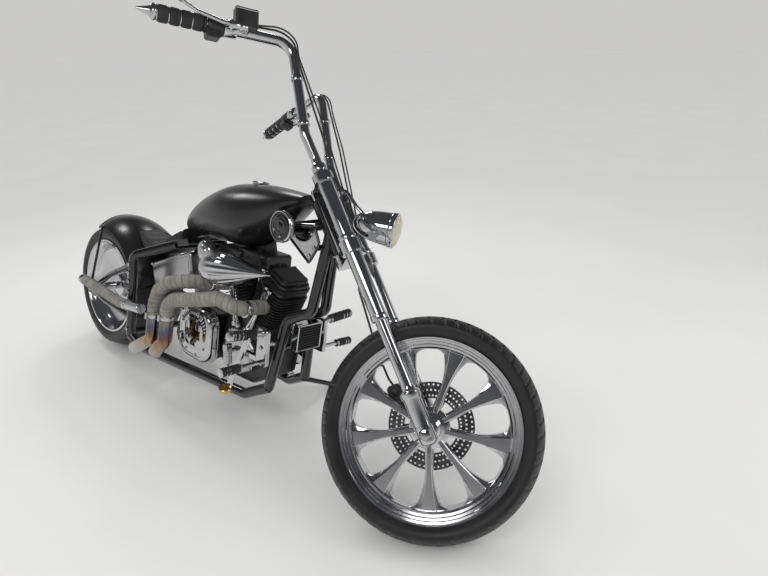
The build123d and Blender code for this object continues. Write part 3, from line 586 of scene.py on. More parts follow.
def frontGrooves(angle, mark):
    # chunky blocks: slanted cuts from the wavy centre groove out over the shoulder, short notches between
    blocks = 52
    pitch = 2 * pi / blocks
    side = np.abs(mark)
    phase = np.mod(angle + 0.05 * side + np.where(mark > 0, pitch / 2, 0), pitch) / pitch
    cut = bandOf(phase, 0.5, 0.085, 0.06) * bandOf(side, 0.66, 0.36, 0.05)
    short = np.mod(angle - 0.03 * side + np.where(mark > 0, 0, pitch / 2), pitch) / pitch
    cut = np.maximum(cut, bandOf(short, 0.5, 0.07, 0.06) * bandOf(side, 0.88, 0.14, 0.04))
    wavy = bandOf(mark, 0.05 * np.sin(angle * blocks), 0.035, 0.02)
    return 5.0 * np.maximum(cut, wavy) * (side <= 1)


def rearGrooves(angle, mark):
    # long slanted cuts on both sides and a fine line round the middle
    pitch = 2 * pi / 28
    side = np.abs(mark)
    phase = np.mod(angle + 0.16 * side + np.where(mark > 0, pitch / 2, 0), pitch) / pitch
    cut = bandOf(phase, 0.5, 0.045, 0.04) * bandOf(side, 0.58, 0.34, 0.04)
    return 4.5 * np.maximum(cut, bandOf(mark, 0.0, 0.016, 0.012)) * (side <= 1)


frontTyre = {"radius": bike["frontRadius"], "width": 136.0, "bead": 292.0, "lip": 300.0, "seatShare": 0.74,
             "around": 1040, "across": 64}
rearTyre = {"radius": bike["rearRadius"], "width": 272.0, "bead": 229.0, "lip": 243.0, "seatShare": 0.9,
            "around": 560, "across": 80}
rearCentre = np.array([0, 0, bike["rearRadius"]])
makePiece("front_tyre_tread", [tyreShape(frontCentre, frontGrooves, **frontTyre)], tyreRubber,
          "front_wheel", "front_tyre", sharp=50)
makePiece("rear_tyre_tread", [tyreShape(rearCentre, rearGrooves, **rearTyre)], tyreRubber,
          "rear_wheel", "rear_tyre", sharp=50)

# Rear wheel: thin lip, smooth deep dish, hub
dish = smoothRows([(122.4, 229), (108, 217), (92, 207), (70, 190), (52, 140), (43, 100), (40, 68)], 40)
dishHalf = [(128.4, 241.5), (127, 243), (122.4, 243), (122.4, 229), (106.4, 229), (88.4, 207), (0, 207)]
rearOutline = [(128.4, 233), (126, 232)] + [tuple(row) for row in dish] + [
    (44, 62), (60, 58), (72, 56), (76, 50), (78, 40), (78, 13.5), (0, 13.5)]
outsideRows = rearOutline[::-1] + dishHalf
rearRows = outsideRows + [(-side, radius) for side, radius in outsideRows[::-1][1:-1]]
makePiece("rear_wheel_metal", [ringShape(rearRows, rearCentre, 192)], polishedAluminium, "rear_wheel",
          "rear_rim", sharp=30)
print("wheels ready")

# Bars: two wide tubes, grips of four knobs with rings and a spike, lever, switches, reservoir
bars = {"radius": 18.0, "bend": 60.0, "grip": 158.0, "rings": (30, 190), "knobs": 4, "knobPitch": 34.5,
        "flutes": 28}
barFoot = forkPoint(922, 0, bike["legSide"])
barPath = [barFoot, forkPoint(976, 0, bike["legSide"]), forkPoint(1060, 2, 158), forkPoint(1376, 80, 176),
           forkPoint(1479, -250, 457)]
barRun, upright = unit(barPath[4] - barPath[3]), unit(barPath[3] - barPath[2])
gripStart = barPath[4] - barRun * bars["grip"]
leverWay = unit(np.cross(barRun, [0, 0, -1]))
leverWay = leverWay * np.sign(leverWay[0])
upWay = np.array([0, 0, 1.0])
upFork0, outFork0 = np.array([-sin(rake), 0, cos(rake)]), np.array([cos(rake), 0, sin(rake)])
barShapes = [tubeShape(barPath, bars["radius"], bars["bend"], 36, 6, 3),
             latheShape([(0, 22), (1.5, 24), (3, 25), (24, 25), (26, 23.5), (36, 18.4), (36, 14)], barFoot,
                        upFork0, 48)]
barShapes += [latheShape([(0, 18), (1, 20.6), (3, 21.4), (13, 21.4), (15, 20.6), (16, 18)],
                         barPath[2] + upright * along, upright, 48) for along in bars["rings"]]
knobRows = [(0, 21), (1, 24), (3.5, 25.6), (8, 26), (22, 26), (26.5, 25.6), (29, 24), (30, 21)]
gripRows = [(0, 20.5), (1, 25), (2.5, 26), (6.5, 26), (8, 25), (9, 21)]
gripRows += repeatRows(knobRows, 10, bars["knobPitch"], bars["knobs"]) + [(149, 21)]
ringRows = [(0, 20.5), (0.2, 23.6), (1.2, 24.4), (3, 24.4), (4, 23.6), (4.2, 20.5)]
capRows = [(149, 20), (149, 24), (151, 25.2), (157, 25.2), (160, 23.5), (164, 18), (167, 15), (174, 12.5),
           (184, 9.6), (194, 6.6), (201, 4.2), (204, 2.4), (204.5, 0.4)]
trimShapes = [latheShape(ringRows, gripStart + barRun * (40.2 + bars["knobPitch"] * k), barRun, 56)
              for k in range(bars["knobs"])]
trimShapes.append(latheShape(capRows, gripStart, barRun, 56))


def fluted(shape, start, way, depth):
    # a turned shape with its skin pressed in: r -> r - depth(along, r, a)
    points, faces, marks = shape
    side, up = crossPair(way)
    off = points - np.array(start)
    along = off @ unit(way)
    radial = off - along[:, None] * unit(way)
    radius = np.linalg.norm(radial, axis=1)
    cut = depth(along, radius, np.arctan2(radial @ up, radial @ side))
    return points - radial / np.maximum(radius, 1e-6)[:, None] * cut[:, None], faces, marks


def gripFlutes(along, radius, angle):
    return 0.9 * (0.5 + 0.5 * np.cos(bars["flutes"] * angle))**3 * (radius > 25.5)


gripShape = fluted(latheShape(gripRows, gripStart, barRun, 6 * bars["flutes"]), gripStart, barRun, gripFlutes)
master = gripStart - barRun * 76
pivot = master + leverWay * 42
leverTip = gripStart + barRun * 96 + leverWay * 58 + upWay * 36
leverPath = [pivot + leverWay * 2, pivot + barRun * 30 + leverWay * 8,
             gripStart + barRun * 40 + leverWay * 50 + upWay * 16, leverTip]
ballRows = [(-8.2 * cos(a), max(8.2 * sin(a), 0.3)) for a in np.linspace(0, pi, 17)]
leverShapes = [
    tubeShape(leverPath, lambda s: 8.0 - 2.6 * np.clip(s / 120, 0, 1), 30, 24, 5, 1.5),
    latheShape(ballRows, leverTip, barRun, 32),
    latheShape([(-46, 11), (-45, 14), (-43, 15.6), (-38, 16), (-36, 14.6), (-32, 14.6), (-30, 16), (-24, 16),
                (-22, 14.6), (-18, 14.6), (-16, 16), (12, 16), (15, 15), (16, 13)], pivot, barRun, 48),
    latheShape([(-20, 20.4), (-19, 26), (-17, 27), (19, 27), (21, 26), (22, 20.4)], master, barRun, 48),
    latheShape([(8, 14), (40, 13.6), (42, 12)], master, leverWay, 32),
    latheShape([(-17, 5.5), (-16.5, 8), (16.5, 8), (17, 5.5)], pivot + barRun * 6, upWay, 24)]
boxUp = np.cross(barRun, unit(np.cross(barRun, upWay)))
switchShapes = [latheShape([(-54, 20.4), (-53, 26.5), (-51, 28.6), (-30.6, 29), (-30, 28.2), (-29.4, 29),
                            (-7, 28.6), (-5, 27), (-4, 20.4)], gripStart, barRun, 56),
                plateShape(roundedOutline(46, 34, 8), -24, 24, gripStart - barRun * 28 - upWay * 26, barRun,
                           boxUp, 4)]
switchShapes += [latheShape([(26, size), (31, size), (32.5, size - 1.2)], gripStart + barRun * along,
                            (0.5, -0.3, 0.8), 24) for along, size in ((-44, 5.5), (-36, 4.5), (-16, 6.5))]
cupFoot = master - barRun * 44 + leverWay * 36 - upWay * 6
cupU = unit([barRun[0], barRun[1], -0.3])
cupV = unit(np.cross(upWay, cupU))
cupUp = np.cross(cupU, cupV)
cupShapes = [plateShape(roundedOutline(74, 44, 7), 8, 58, cupFoot, cupU, cupV, 2.5),
             latheShape([(-8, 9), (10, 9)], cupFoot, cupUp, 32)]
lidShapes = [plateShape(roundedOutline(78, 48, 9), 58, 64, cupFoot, cupU, cupV, 1.6)]
lidCorners = [(-30, -16), (30, -16), (30, 16), (-30, 16)]
lidShapes += screws([cupFoot + cupU * du + cupV * dv for du, dv in lidCorners], cupUp, (63, 65.6, 66.4, 65),
                    (4.2, 3.4, 1.8), 16)
outWay = unit(np.cross(upright, ahead))
outWay = outWay * np.sign(outWay[1])
cableStart = gripStart - barRun * 56
cableShapes = []
for shift, radius in ((0, 3.4), (13, 2.8)):
    cablePath = [cableStart + upWay * 24 + leverWay * shift,
                 cableStart - barRun * 90 + upWay * 30 + leverWay * shift,
                 barPath[3] + barRun * 10 + upWay * (34 + shift) + leverWay * (14 + shift),
                 barPath[3] - upright * 60 + leverWay * (34 + shift) + outWay * 8,
                 forkPoint(1110, 62 + shift, 166), forkPoint(960, 44 + shift, 110),
                 forkPoint(800, 22 + shift, 62), forkPoint(668, -8, 30)]
    cableShapes.append(tubeShape(cablePath, radius, 70, 16, 8, 0.8))
barPieces = {"bar_tube": (barShapes, chrome, "handlebar"), "grip_knobs": ([gripShape], blackRubber, "grip"),
             "grip_trim": (trimShapes, chrome, None), "lever_set": (leverShapes, chrome, "control"),
             "switch_box": (switchShapes, blackPlastic, None), "bar_cable": (cableShapes, blackRubber, None)}
for side in ("left", "right"):
    for name, (shapes, material, node) in barPieces.items():
        turned = shapes if side == "left" else [otherSide(shape) for shape in shapes]
        makePiece(f"{name}_{side}", turned, material, "fork", node and f"{node}_{side}")
makePiece("reservoir_cup", [otherSide(s) for s in cupShapes], blackPlastic, "fork", "reservoir")
makePiece("reservoir_lid", [otherSide(s) for s in lidShapes], chrome, "fork")

# Fork: fat upper tubes, thin sliders, foot castings, axle nuts
legRows = [(0, 21), (0, 26), (1.5, 28.4), (3, 29), (18, 29), (20, 28.4), (21, 27.2), (286, 27.2), (287, 30),
           (289, 31), (303, 31), (305, 30), (306, 27.2), (534, 27.2), (540, 25), (543, 22.5), (546, 21)]
footRows = [(0, 13), (1, 15.5), (6, 24), (9, 27), (16, 29), (62, 29), (63, 28), (66, 28), (67, 29), (148, 29),
            (153, 31), (157, 33), (171, 33), (173.5, 31), (176, 24.5), (180, 21.5), (188, 20), (196, 19.5),
            (434, 19.5)]
legShapes, sliderShapes = [], []
for side in (-bike["legSide"], bike["legSide"]):
    legShapes.append(latheShape(legRows, forkPoint(376, 0, side), upFork0, 64))
    sliderShapes.append(latheShape(footRows, forkPoint(-38, 0, side), upFork0, 64))
    sliderShapes += screws([forkPoint(along, 0, side) for along in (-14, 14)], -outFork0, (26, 33, 34, 31),
                           (7, 6, 3.4), 24)
makePiece("leg_tubes", legShapes, chrome, "fork", "fork_tubes")
makePiece("leg_sliders", sliderShapes, chrome, "fork", "fork_lowers")
axleRows = [(-167, 8), (-166, 12), (-58, 12.5), (166, 12.5), (167, 8)]
axleShapes = [latheShape(axleRows, frontCentre, toLeft, 40)]
for low, way in ((58, toRight), (66, toLeft)):
    spacerRows = [(low, 12), (low, 17.5), (low + 1.5, 19), (102.8, 19), (103.8, 18)]
    axleShapes.append(latheShape(spacerRows, frontCentre, way, 48))
axleShapes += [latheShape([(161.5, 12), (161.5, 19.5), (163, 20.5), (168, 20.5), (172, 17), (174, 11),
                           (174.5, 0.5)], frontCentre, way, 6) for way in (toLeft, toRight)]
makePiece("front_axle_metal", axleShapes, chrome, "fork", "front_axle", sharp=25)

# Headlamp: bullet shell with a reflector bowl, ribbed glass, flat curved band
lampCentre, lampWay = forkPoint(712, 90), unit([1, 0, 0.02])
shellRows = [(0, 3), (1, 9), (6, 20), (14, 29.5), (26, 38.5), (44, 46.5), (62, 52), (86, 56), (110, 59),
             (138, 61), (140, 61), (141.5, 62.8), (144, 64), (157, 64), (159, 63.2), (160, 61.5), (160, 59),
             (158, 58.5), (150, 53), (140, 44), (130, 30), (124, 14), (124, 8), (140, 7), (146, 5),
             (148, 0.4)]
makePiece("lamp_shell", [latheShape(shellRows, lampCentre - lampWay * 82, lampWay, 96)], chrome, "fork",
          "headlamp_shell")
lensRows = [(12, 58.4), (16, 55), (20, 48), (24, 34), (27, 17), (28, 0.4), (26, 0.4), (25, 16), (22, 33),
            (18, 46), (14, 53), (11, 56.5), (10, 58)]
makePiece("lamp_glass", [latheShape(lensRows, lampCentre + lampWay * 66, lampWay, 96)], lampGlass, "fork",
          "headlamp_lens")
bandPath = [forkPoint(898, 2), forkPoint(872, 44), forkPoint(806, 56), lampCentre + np.array([-52, 0, 30])]
bandShapes = [sweepShape(bandPath, roundedOutline(24, 13, 3, 4), 26, 5, toLeft),
              latheShape([(-9, 11), (-8, 12), (8, 12), (9, 11)], bandPath[0] + outFork0 * 4, toLeft, 32)]
makePiece("lamp_band", bandShapes, chrome, "fork", "headlamp_band")

# Fuel tank: crowned sections with a tunnel for the backbone, filler cap
tank = {"rows": [(548, 742, 764, 24), (620, 738, 858, 74), (740, 745, 940, 116), (880, 757, 1000, 144),
                 (1000, 766, 1022, 150), (1100, 800, 1030, 136), (1200, 892, 1030, 104),
                 (1296, 976, 1026, 56)],
        "tunnel": 22.3, "tunnelFoot": (600, 741.1), "tunnelClimb": 0.2754}


def crownedGrid(rows, count, across, up):
    # sections (x, low, high, half) joined smoothly, each p = (x, half*across, middle + (high - low)/2*up)
    rows = smoothRows(rows, count)
    x, low, high, half = (rows[:, k:k + 1] for k in range(4))
    points = np.stack([np.broadcast_to(x, (count, len(across))), half * across,
                       (low + high) / 2 + (high - low) / 2 * up], -1)
    return points, high, half


angle = np.linspace(0, 2 * pi, 240, endpoint=False)
tankPoints, tankTop, _ = crownedGrid(tank["rows"], 84, np.cos(angle), np.sin(angle))
roof = tank["tunnelFoot"][1] + (tankPoints[..., 0] - tank["tunnelFoot"][0]) * tank["tunnelClimb"]
tunnelled = (np.abs(tankPoints[..., 1]) < tank["tunnel"]) & (tankPoints[..., 2] < roof)
tankPoints[..., 2] = np.where(tunnelled, np.minimum(roof, tankTop - 4), tankPoints[..., 2])
makePiece("tank_skin", [cappedShape(tankPoints)], satinPaint, "chassis", "fuel_tank", sharp=50)
fillerRows = [(0, 33), (4, 33), (5, 31), (6, 31), (7, 34), (9, 35), (13, 34.5), (15.5, 31), (17, 22),
              (17.5, 0.4)]
makePiece("tank_cap", [latheShape(fillerRows, (1010, 0, 1018), skyward, 64)], chrome, "chassis")

# Rear fender: rolled-edge shell, side brackets and struts
fender = {"from": -12.0, "to": 74.0, "outer": 372.0, "edge": 307.0, "half": 149.0, "thick": 5.0,
          "hem": 4.2, "hemAt": (147, 306), "tab": 312.0, "tabAngle": 30.0}


def arcRows(half, edge, crown, count):
    # circle through (+-half, edge) and (0, crown)
    sag = crown - edge
    bow = (half**2 + sag**2) / (2 * sag)
    t = np.linspace(-1, 1, count) * np.arcsin(half / bow)
    return np.stack([bow * np.sin(t), crown - bow + bow * np.cos(t)], -1)


outerArc = arcRows(fender["half"], fender["edge"], fender["outer"], 60)
innerArc = arcRows(fender["half"] - 4, fender["edge"], fender["outer"] - fender["thick"], 60)
bead = np.linspace(-0.35 * pi, 0.9 * pi, 8)
rightBead = np.stack([fender["hemAt"][0] + fender["hem"] * np.cos(pi - bead),
                      fender["hemAt"][1] - fender["hem"] * np.sin(bead)], -1)
fenderRows = np.concatenate([outerArc, rightBead[::-1][1:-1], innerArc[::-1], (rightBead * [-1, 1])[1:-1]])
fenderAngle = np.radians(np.linspace(fender["from"], fender["to"], 90))
reach = fenderRows[None, :, 1]
fenderPoints = np.stack([reach * np.sin(fenderAngle)[:, None],
                         np.broadcast_to(fenderRows[None, :, 0], (90, len(fenderRows))),
                         bike["rearRadius"] + reach * np.cos(fenderAngle)[:, None]], -1)
fenderEnds, hemShapes = [], []
for k in (0, -1):
    # each end closes on the line midway between the outer skin's 60 points and the inner skin's
    middle = (fenderPoints[k][:60] + fenderPoints[k][66:126][::-1]) / 2
    flat = fenderPoints[k].copy()
    flat[:60], flat[66:126] = middle, middle[::-1]
    fenderEnds.append(flat[None])
    hemShapes.append(tubeShape(middle, fender["hem"], 0, 12, 8, 1))
fenderShell = gridShape(np.concatenate([fenderEnds[0], fenderPoints, fenderEnds[1]]), closeCols=True)
makePiece("fender_skin", [fenderShell] + hemShapes, satinPaint, "chassis", "rear_fender", sharp=45)
tabSwing = radians(fender["tabAngle"])
tabAt = np.array([fender["tab"] * cos(tabSwing), 0, bike["rearRadius"] + fender["tab"] * sin(tabSwing)])
strutTop = np.array([-30, 147, bike["rearRadius"] + (310**2 - 30**2)**0.5])
strutFoot = np.array([-12, 202, 364])
strutShapes = []
for side in (1, -1):
    flip = np.array([1, side, 1])
    tabEnd, foot, top = (tabAt + [0, 202, 0]) * flip, strutFoot * flip, strutTop * flip
    strutShapes += [tubeShape([(tabAt + [0, 143, 0]) * flip, tabEnd], 7, 0, 24, 8, 1),
                    tubeShape([foot, top], 6, 0, 24, 8, 1),
                    latheShape([(-8, 9), (-7, 11), (7, 11), (8, 9)], top, toLeft, 32)]
    strutShapes += screws([tabEnd, foot], (0, side, 0), (8, 13, 14.5, 12), (10, 8, 4), 24)
makePiece("fender_struts", strutShapes, glossPaint, "chassis")

# Seat: low pad over the fender with piping, its rail with a bright strip
seat = {"rows": [(190, 640, 668, 66), (280, 600, 640, 92), (360, 588, 628, 98), (430, 604, 648, 92),
                 (490, 640, 704, 80), (570, 690, 756, 64)],
        "creasePitch": 46, "creaseFrom": 150, "creaseHalf": 4.5, "creaseDepth": 3.4, "creaseShare": 0.72,
        "creased": (220, 520), "fenderReach": 374, "fenderEnd": 373}
lap = np.linspace(0, 2 * pi, 96, endpoint=False)
bulge = [np.sign(f(lap)) * np.abs(f(lap))**0.55 for f in (np.cos, np.sin)]
seatPoints, _, seatHalf = crownedGrid(seat["rows"], 120, *bulge)
seatX = seatPoints[..., 0]
phase = np.mod(seatX - seat["creaseFrom"], seat["creasePitch"])
crease = np.clip(1 - np.abs(phase - seat["creasePitch"] / 2) / seat["creaseHalf"], 0, 1)
inside = np.clip(1 - (np.abs(seatPoints[..., 1]) / (seat["creaseShare"] * seatHalf))**6, 0, 1)
onTop = (bulge[1] > 0.4)[None] * (seatX > seat["creased"][0]) * (seatX < seat["creased"][1])
seatPoints[..., 2] -= seat["creaseDepth"] * crease**2 * inside * onTop
over = bike["rearRadius"] + np.sqrt(np.clip(seat["fenderReach"]**2 - seatX**2, 0, None))
seatPoints[..., 2] = np.maximum(seatPoints[..., 2], np.where(seatX < seat["fenderEnd"], over, 0))
pipings = [tubeShape(seatPoints[4:-4, pick] + np.array([0, 0, 0.6]), 3.0, 0, 12, 8, 1) for pick in (8, 40)]
makePiece("seat_pad", [cappedShape(seatPoints)] + pipings, seatLeather, "chassis", "seat", sharp=60)
railPath = [(392, -119, 600), (480, -117, 645), (603, -110, 694), (676, -96, 716)]
stripRows = roundedOutline(4, 5, 1.6, 3, (6.2, 9)) * [-1, 1]
makePiece("seat_rails", bothSides([sweepShape(railPath, roundedOutline(9, 30, 3, 3), 60, 8)]), glossPaint,
          "chassis")
makePiece("rail_strips", bothSides([sweepShape(railPath, stripRows, 60, 8)]), chrome, "chassis")
print("body ready")

# Oil tank, horn, gusset plate, cooler
tankOutline = roundOutline([(439, 462), (740, 581), (712, 682), (402, 558)], 14)
tankPanel = roundOutline([(461, 480), (722, 584), (701, 660), (428, 552)], 12)
oilShapes = [plateShape(tankOutline, -112, 112, inset=7), plateShape(tankPanel, 111, 113.6, inset=1.2),
             plateShape([(686, 462), (714, 462), (714, 560), (686, 550)], -58, 58, inset=2)]
oilShapes += screws([(452, 0, 474), (726, 0, 590), (704, 0, 668), (412, 0, 553)], toRight,
                    (111, 114, 115.5, 113.5), (7, 5.5, 3))
makePiece("oil_tank_body", oilShapes, brushedAluminium, "chassis", "oil_tank")
plateAt = forkPoint(668, -60) + np.array([-56, 0, -32])
hornAt = plateAt + np.array([-146, -94, 93])
hornRows = [(0, 30), (0, 44), (3, 52), (8, 57), (11, 58), (22, 58), (25, 57), (27, 54), (27, 51), (24, 49),
            (24, 44), (27.5, 42), (28.5, 38), (26, 35), (26, 31), (29.5, 28), (30.5, 22), (29, 18), (31, 14),
            (33.5, 9), (34, 0.4)]
hornShapes = [latheShape(hornRows, hornAt, toRight, 96),
              tubeShape([plateAt + [-120, -54, 76], plateAt + [-120, -98, 76]], 7, 0, 24, 6, 1)]
makePiece("horn_shell", hornShapes, glossPaint, "chassis", "horn")
hornRim = [(14, 57.6), (14, 58.8), (21, 59), (25.5, 58), (27.8, 54.5), (27.2, 52), (25.5, 51.6), (25.5, 54),
           (22, 57.4)]
makePiece("horn_rim", [latheShape(hornRim, hornAt, toRight, 96, closed=True)], chrome, "chassis")
gussetCorners = [(-163, 52), (-43, -20), (-2, 57), (-36, 112), (-155, 91)]
gussetShapes = [plateShape(roundOutline(gussetCorners, 9), 52, 58, plateAt, inset=1.5),
                tubeShape([plateAt + [-28, -55, 38], plateAt + [-28, -18, 38]], 12, 0, 32, 6, 1),
                tubeShape([plateAt + [-150, -55, 100], plateAt + [-32, -55, 120]], 7, 0, 24, 6, 1)]
gussetShapes += screws([plateAt + [x, 0, z] for x, z in ((-28, 38), (-140, 62), (-52, 88), (-48, 4))],
                       toRight, (57, 61, 62.5, 60), (9, 7.5, 4), 24)
makePiece("gusset_metal", gussetShapes, chrome, "chassis", "gusset_plate")
borderPath = [plateAt + [x, -57, z] for x, z in gussetCorners + gussetCorners[:2]]
makePiece("gusset_border", [tubeShape(borderPath, 5.5, 10, 16, 5, 1)], glossPaint, "chassis")
coolAt = np.array([1366.0, 0, 496])
finShapes = [plateShape(roundedOutline(34, 112, 2, 2), low, low + 3.2, coolAt, ahead, toLeft, 0.4)
             for low in np.arange(-46, 46, 10.2)]
finShapes.append(plateShape(roundedOutline(20, 114, 2, 2), -48, 48, coolAt, ahead, toLeft, 1))
makePiece("cooler_fins", finShapes, engineBlack, "chassis", "oil_cooler")
coolerShapes = [plateShape(roundedOutline(40, 126, 8), low, high, coolAt, ahead, toLeft, 2)
                for low, high in ((47, 55), (-51, -46))]
coolerShapes += [plateShape(roundedOutline(37, 98, 3), low, high, coolAt)
                 for low, high in ((-62, -56), (56, 62))]
coolerShapes.append(latheShape([(-56, 9), (-10, 9)], coolAt + [0, -20, 0], ahead, 32))
makePiece("cooler_frame", coolerShapes, chrome, "chassis")

# Engine: case, finned cylinders, rocker boxes, push rods, air cleaner, breather
crank = np.array([1090.0, 0, 350])
engine = {"low": 146.0, "rise": 236.0, "pitch": 13.0, "fins": 13, "bore": 56.0, "lean": 22.5}
caseOutline = roundOutline([(-160, -50), (-130, -100), (-30, -125), (80, -115), (160, -60), (172, 40),
                            (118, 130), (40, 158), (-40, 158), (-118, 130)], 16)
camOutline = roundOutline([(-105, -20), (-80, -80), (10, -95), (90, -50), (90, 40), (20, 100), (-70, 80)], 14)
caseShapes = [plateShape(caseOutline, -78, 78, crank, inset=6)]
caseShapes += [plateShape(caseOutline * 1.012, low, low + 5, crank, inset=1)
               for low in (-66, -40, -14, 12, 38, 60)]
makePiece("case_body", caseShapes, engineBlack, "chassis", "engine_case")
camShapes = [plateShape(camOutline, 78, 101, crank, inset=4),
             plateShape(camOutline * 0.86, 100, 104, crank, inset=1.5),
             latheShape([(100, 44), (104, 44), (106, 42), (106, 34), (104, 32), (107, 20), (107.5, 0.4)],
                        crank + [34, 0, -14], toRight, 64)]
camScrews = [(-96, -18), (-76, -72), (8, -86), (82, -46), (82, 36), (18, 92), (-64, 74), (-86, 30), (84, -6)]
camShapes += screws([crank + [x, 0, z] for x, z in camScrews], toRight, (99, 104, 105, 103), (6, 5, 2.8))
makePiece("cam_cover", camShapes, castAluminium, "chassis")
rodShapes, plugShapes = [], []
for name, sign in (("front", 1), ("rear", -1)):
    lean = radians(engine["lean"])
    rise = np.array([sign * sin(lean), 0, cos(lean)])
    back = np.cross(rise, toLeft)

    def headPlate(wide, deep, corner, low, high, inset):
        # a rounded plate square to the cylinder, low to high up its axis from the crank
        return plateShape(roundedOutline(wide, deep, corner), low, high, crank, toLeft, back, inset)

    foot, cap = engine["low"], engine["low"] + 10 + engine["fins"] * engine["pitch"]
    bore = engine["bore"]
    cylinder = [latheShape([(foot, 50), (foot, bore), (foot + engine["rise"], bore)], crank, rise, 64)]
    for k in range(engine["fins"]):
        height = foot + 10 + k * engine["pitch"]
        width = min(79.0, height * np.tan(lean) - 3)
        cylinder.append(headPlate(160, 2 * width, min(34, width - 2), height, height + 3.6, 0.9))
    cylinder += [headPlate(wide, deep, 28, cap + low, cap + high, 1.2) for low, high, wide, deep in (
        (0, 12, 156, 138), (14, 18, 158, 140), (20, 24, 158, 140), (26, 30, 158, 140), (10, 44, 146, 128))]
    makePiece(f"{name}_cylinder_fins", cylinder, engineBlack, "chassis", f"cylinder_{name}")
    rocker = [headPlate(134, 106, 24, cap + 44, cap + 60, 3), headPlate(118, 90, 20, cap + 58, cap + 66, 3)]
    rockerScrews = [(-52, -38), (52, -38), (-52, 38), (52, 38), (0, -42), (0, 42)]
    rocker += screws([crank + np.array([0, across, 0]) + back * deep for across, deep in rockerScrews], rise,
                     (cap + 58, cap + 65, cap + 66, cap + 63), (7, 6, 3.4))
    makePiece(f"{name}_rocker_box", rocker, engineBlack, "chassis")
    for shift in (-24, 14):
        rodFoot = crank + np.array([sign * 34 + shift * 0.7, -88, 96])
        rodTop = crank + rise * (cap + 6) + np.array([0, -84, 0]) + back * shift * 0.7
        rodShapes += [tubeShape([rodFoot, rodTop], 8.5, 0, 24, 20, 1),
                      latheShape([(0, 13), (2, 14), (16, 14), (19, 10.5)], rodFoot, rodTop - rodFoot, 32),
                      latheShape([(0, 12), (2, 13), (12, 13), (15, 10)], rodTop, rodFoot - rodTop, 32)]
    plug = crank + rise * (cap - 14) + np.array([0, -62, 0])
    leadPath = [plug, plug + [0, -34, 6], plug + [-20 * sign, -44, 60], crank + [0, -30, 420]]
    plugShapes += [tubeShape(leadPath, 4.4, 24, 16, 6, 1),
                   latheShape([(0, 9), (22, 9), (26, 7), (40, 6)], plug, (0, -1, 0.16), 24)]
makePiece("push_rods", rodShapes, chrome, "chassis")
makePiece("plug_leads", plugShapes, blackRubber, "chassis")
cleaner = {"start": (954.0, -185.0, 680.0), "way": (1, 0, 0.165), "flutes": 18, "depth": 3.4}
cleanerRows = smoothRows([(0, 14), (3, 28), (12, 43), (30, 57), (62, 64.5), (100, 66), (150, 62), (220, 44.5),
                          (290, 23), (360, 6), (386, 2)], 90)


def cleanerFlutes(along, radius, angle):
    window = np.clip((along - 60) / 50, 0, 1) * np.clip((372 - along) / 200, 0, 1)
    wave = (0.5 + 0.5 * np.cos(cleaner["flutes"] * angle))**0.8
    return cleaner["depth"] * wave * window * np.clip(radius / 60, 0, 1)


cleanerShapes = [fluted(latheShape(cleanerRows, cleaner["start"], cleaner["way"], 12 * cleaner["flutes"]),
                        cleaner["start"], cleaner["way"], cleanerFlutes),
                 tubeShape([(1090, -60, 650), (1090, -150, 700)], 33, 0, 48, 8, 1),
                 latheShape([(-3, 20), (-2, 24), (2, 26), (6, 24), (7, 20)], cleaner["start"],
                            cleaner["way"], 48)]
makePiece("cleaner_shell", cleanerShapes, chrome, "chassis", "air_cleaner", sharp=50)
breatherRows = [(0, 24), (0, 30), (26, 30), (28, 34), (30, 38), (33, 47), (38, 50), (42, 50), (44, 47),
                (46, 47), (48, 50), (52, 50), (54, 47), (56, 47), (58, 50), (64, 49), (70, 44), (75, 37),
                (76, 30), (79, 28), (81, 24), (83, 15), (84, 0.4)]
breatherShapes = [latheShape(breatherRows, (850, -66, 713), toRight, 72),
                  tubeShape([(850, -66, 713), (916, -20, 688)], 20, 0, 32, 8, 1)]
makePiece("breather_body", breatherShapes, chrome, "chassis", "breather")

# Head bracket from the backbone to both heads, the coil on it and the electrics box behind it; the coil and
# box are real parts, drawn oversized in black so they also stand in for the shade under the tank
bracketOutline = roundOutline([(1010, 716), (1170, 716), (1210, 690), (1150, 762), (1120, 850), (1050, 830),
                               (1020, 770), (958, 700)], 8)
bracketShapes = [plateShape(bracketOutline, -5, 5, inset=1.5),
                 # the oversized coil and electrics box also stand in for shade under the tank
                 plateShape(roundedOutline(196, 58, 14), -62, 62, (1076, 0, 736), inset=6),
                 plateShape(roundedOutline(150, 40, 12), -74, 74, (938, 0, 732), inset=6)]
bracketShapes += screws([(1000, 0, 752), (1152, 0, 752), (1000, 0, 722), (1152, 0, 722)], toRight,
                        (61, 65, 66, 64), (6, 5, 3))
makePiece("head_bracket", bracketShapes, engineBlack, "chassis")
print("engine ready")


def domeShape(outline, levels, centre, u, v):
    # nested copies of one outline, one for each (scale, height) row, square to u and v
    outline = np.array(outline, float)
    normal = np.cross(unit(u), unit(v))
    rings = [np.array(centre, float) + scale * (outline[:, :1] * unit(u) + outline[:, 1:] * unit(v))
             + high * normal for scale, high in levels]
    return cappedShape(np.stack(rings))


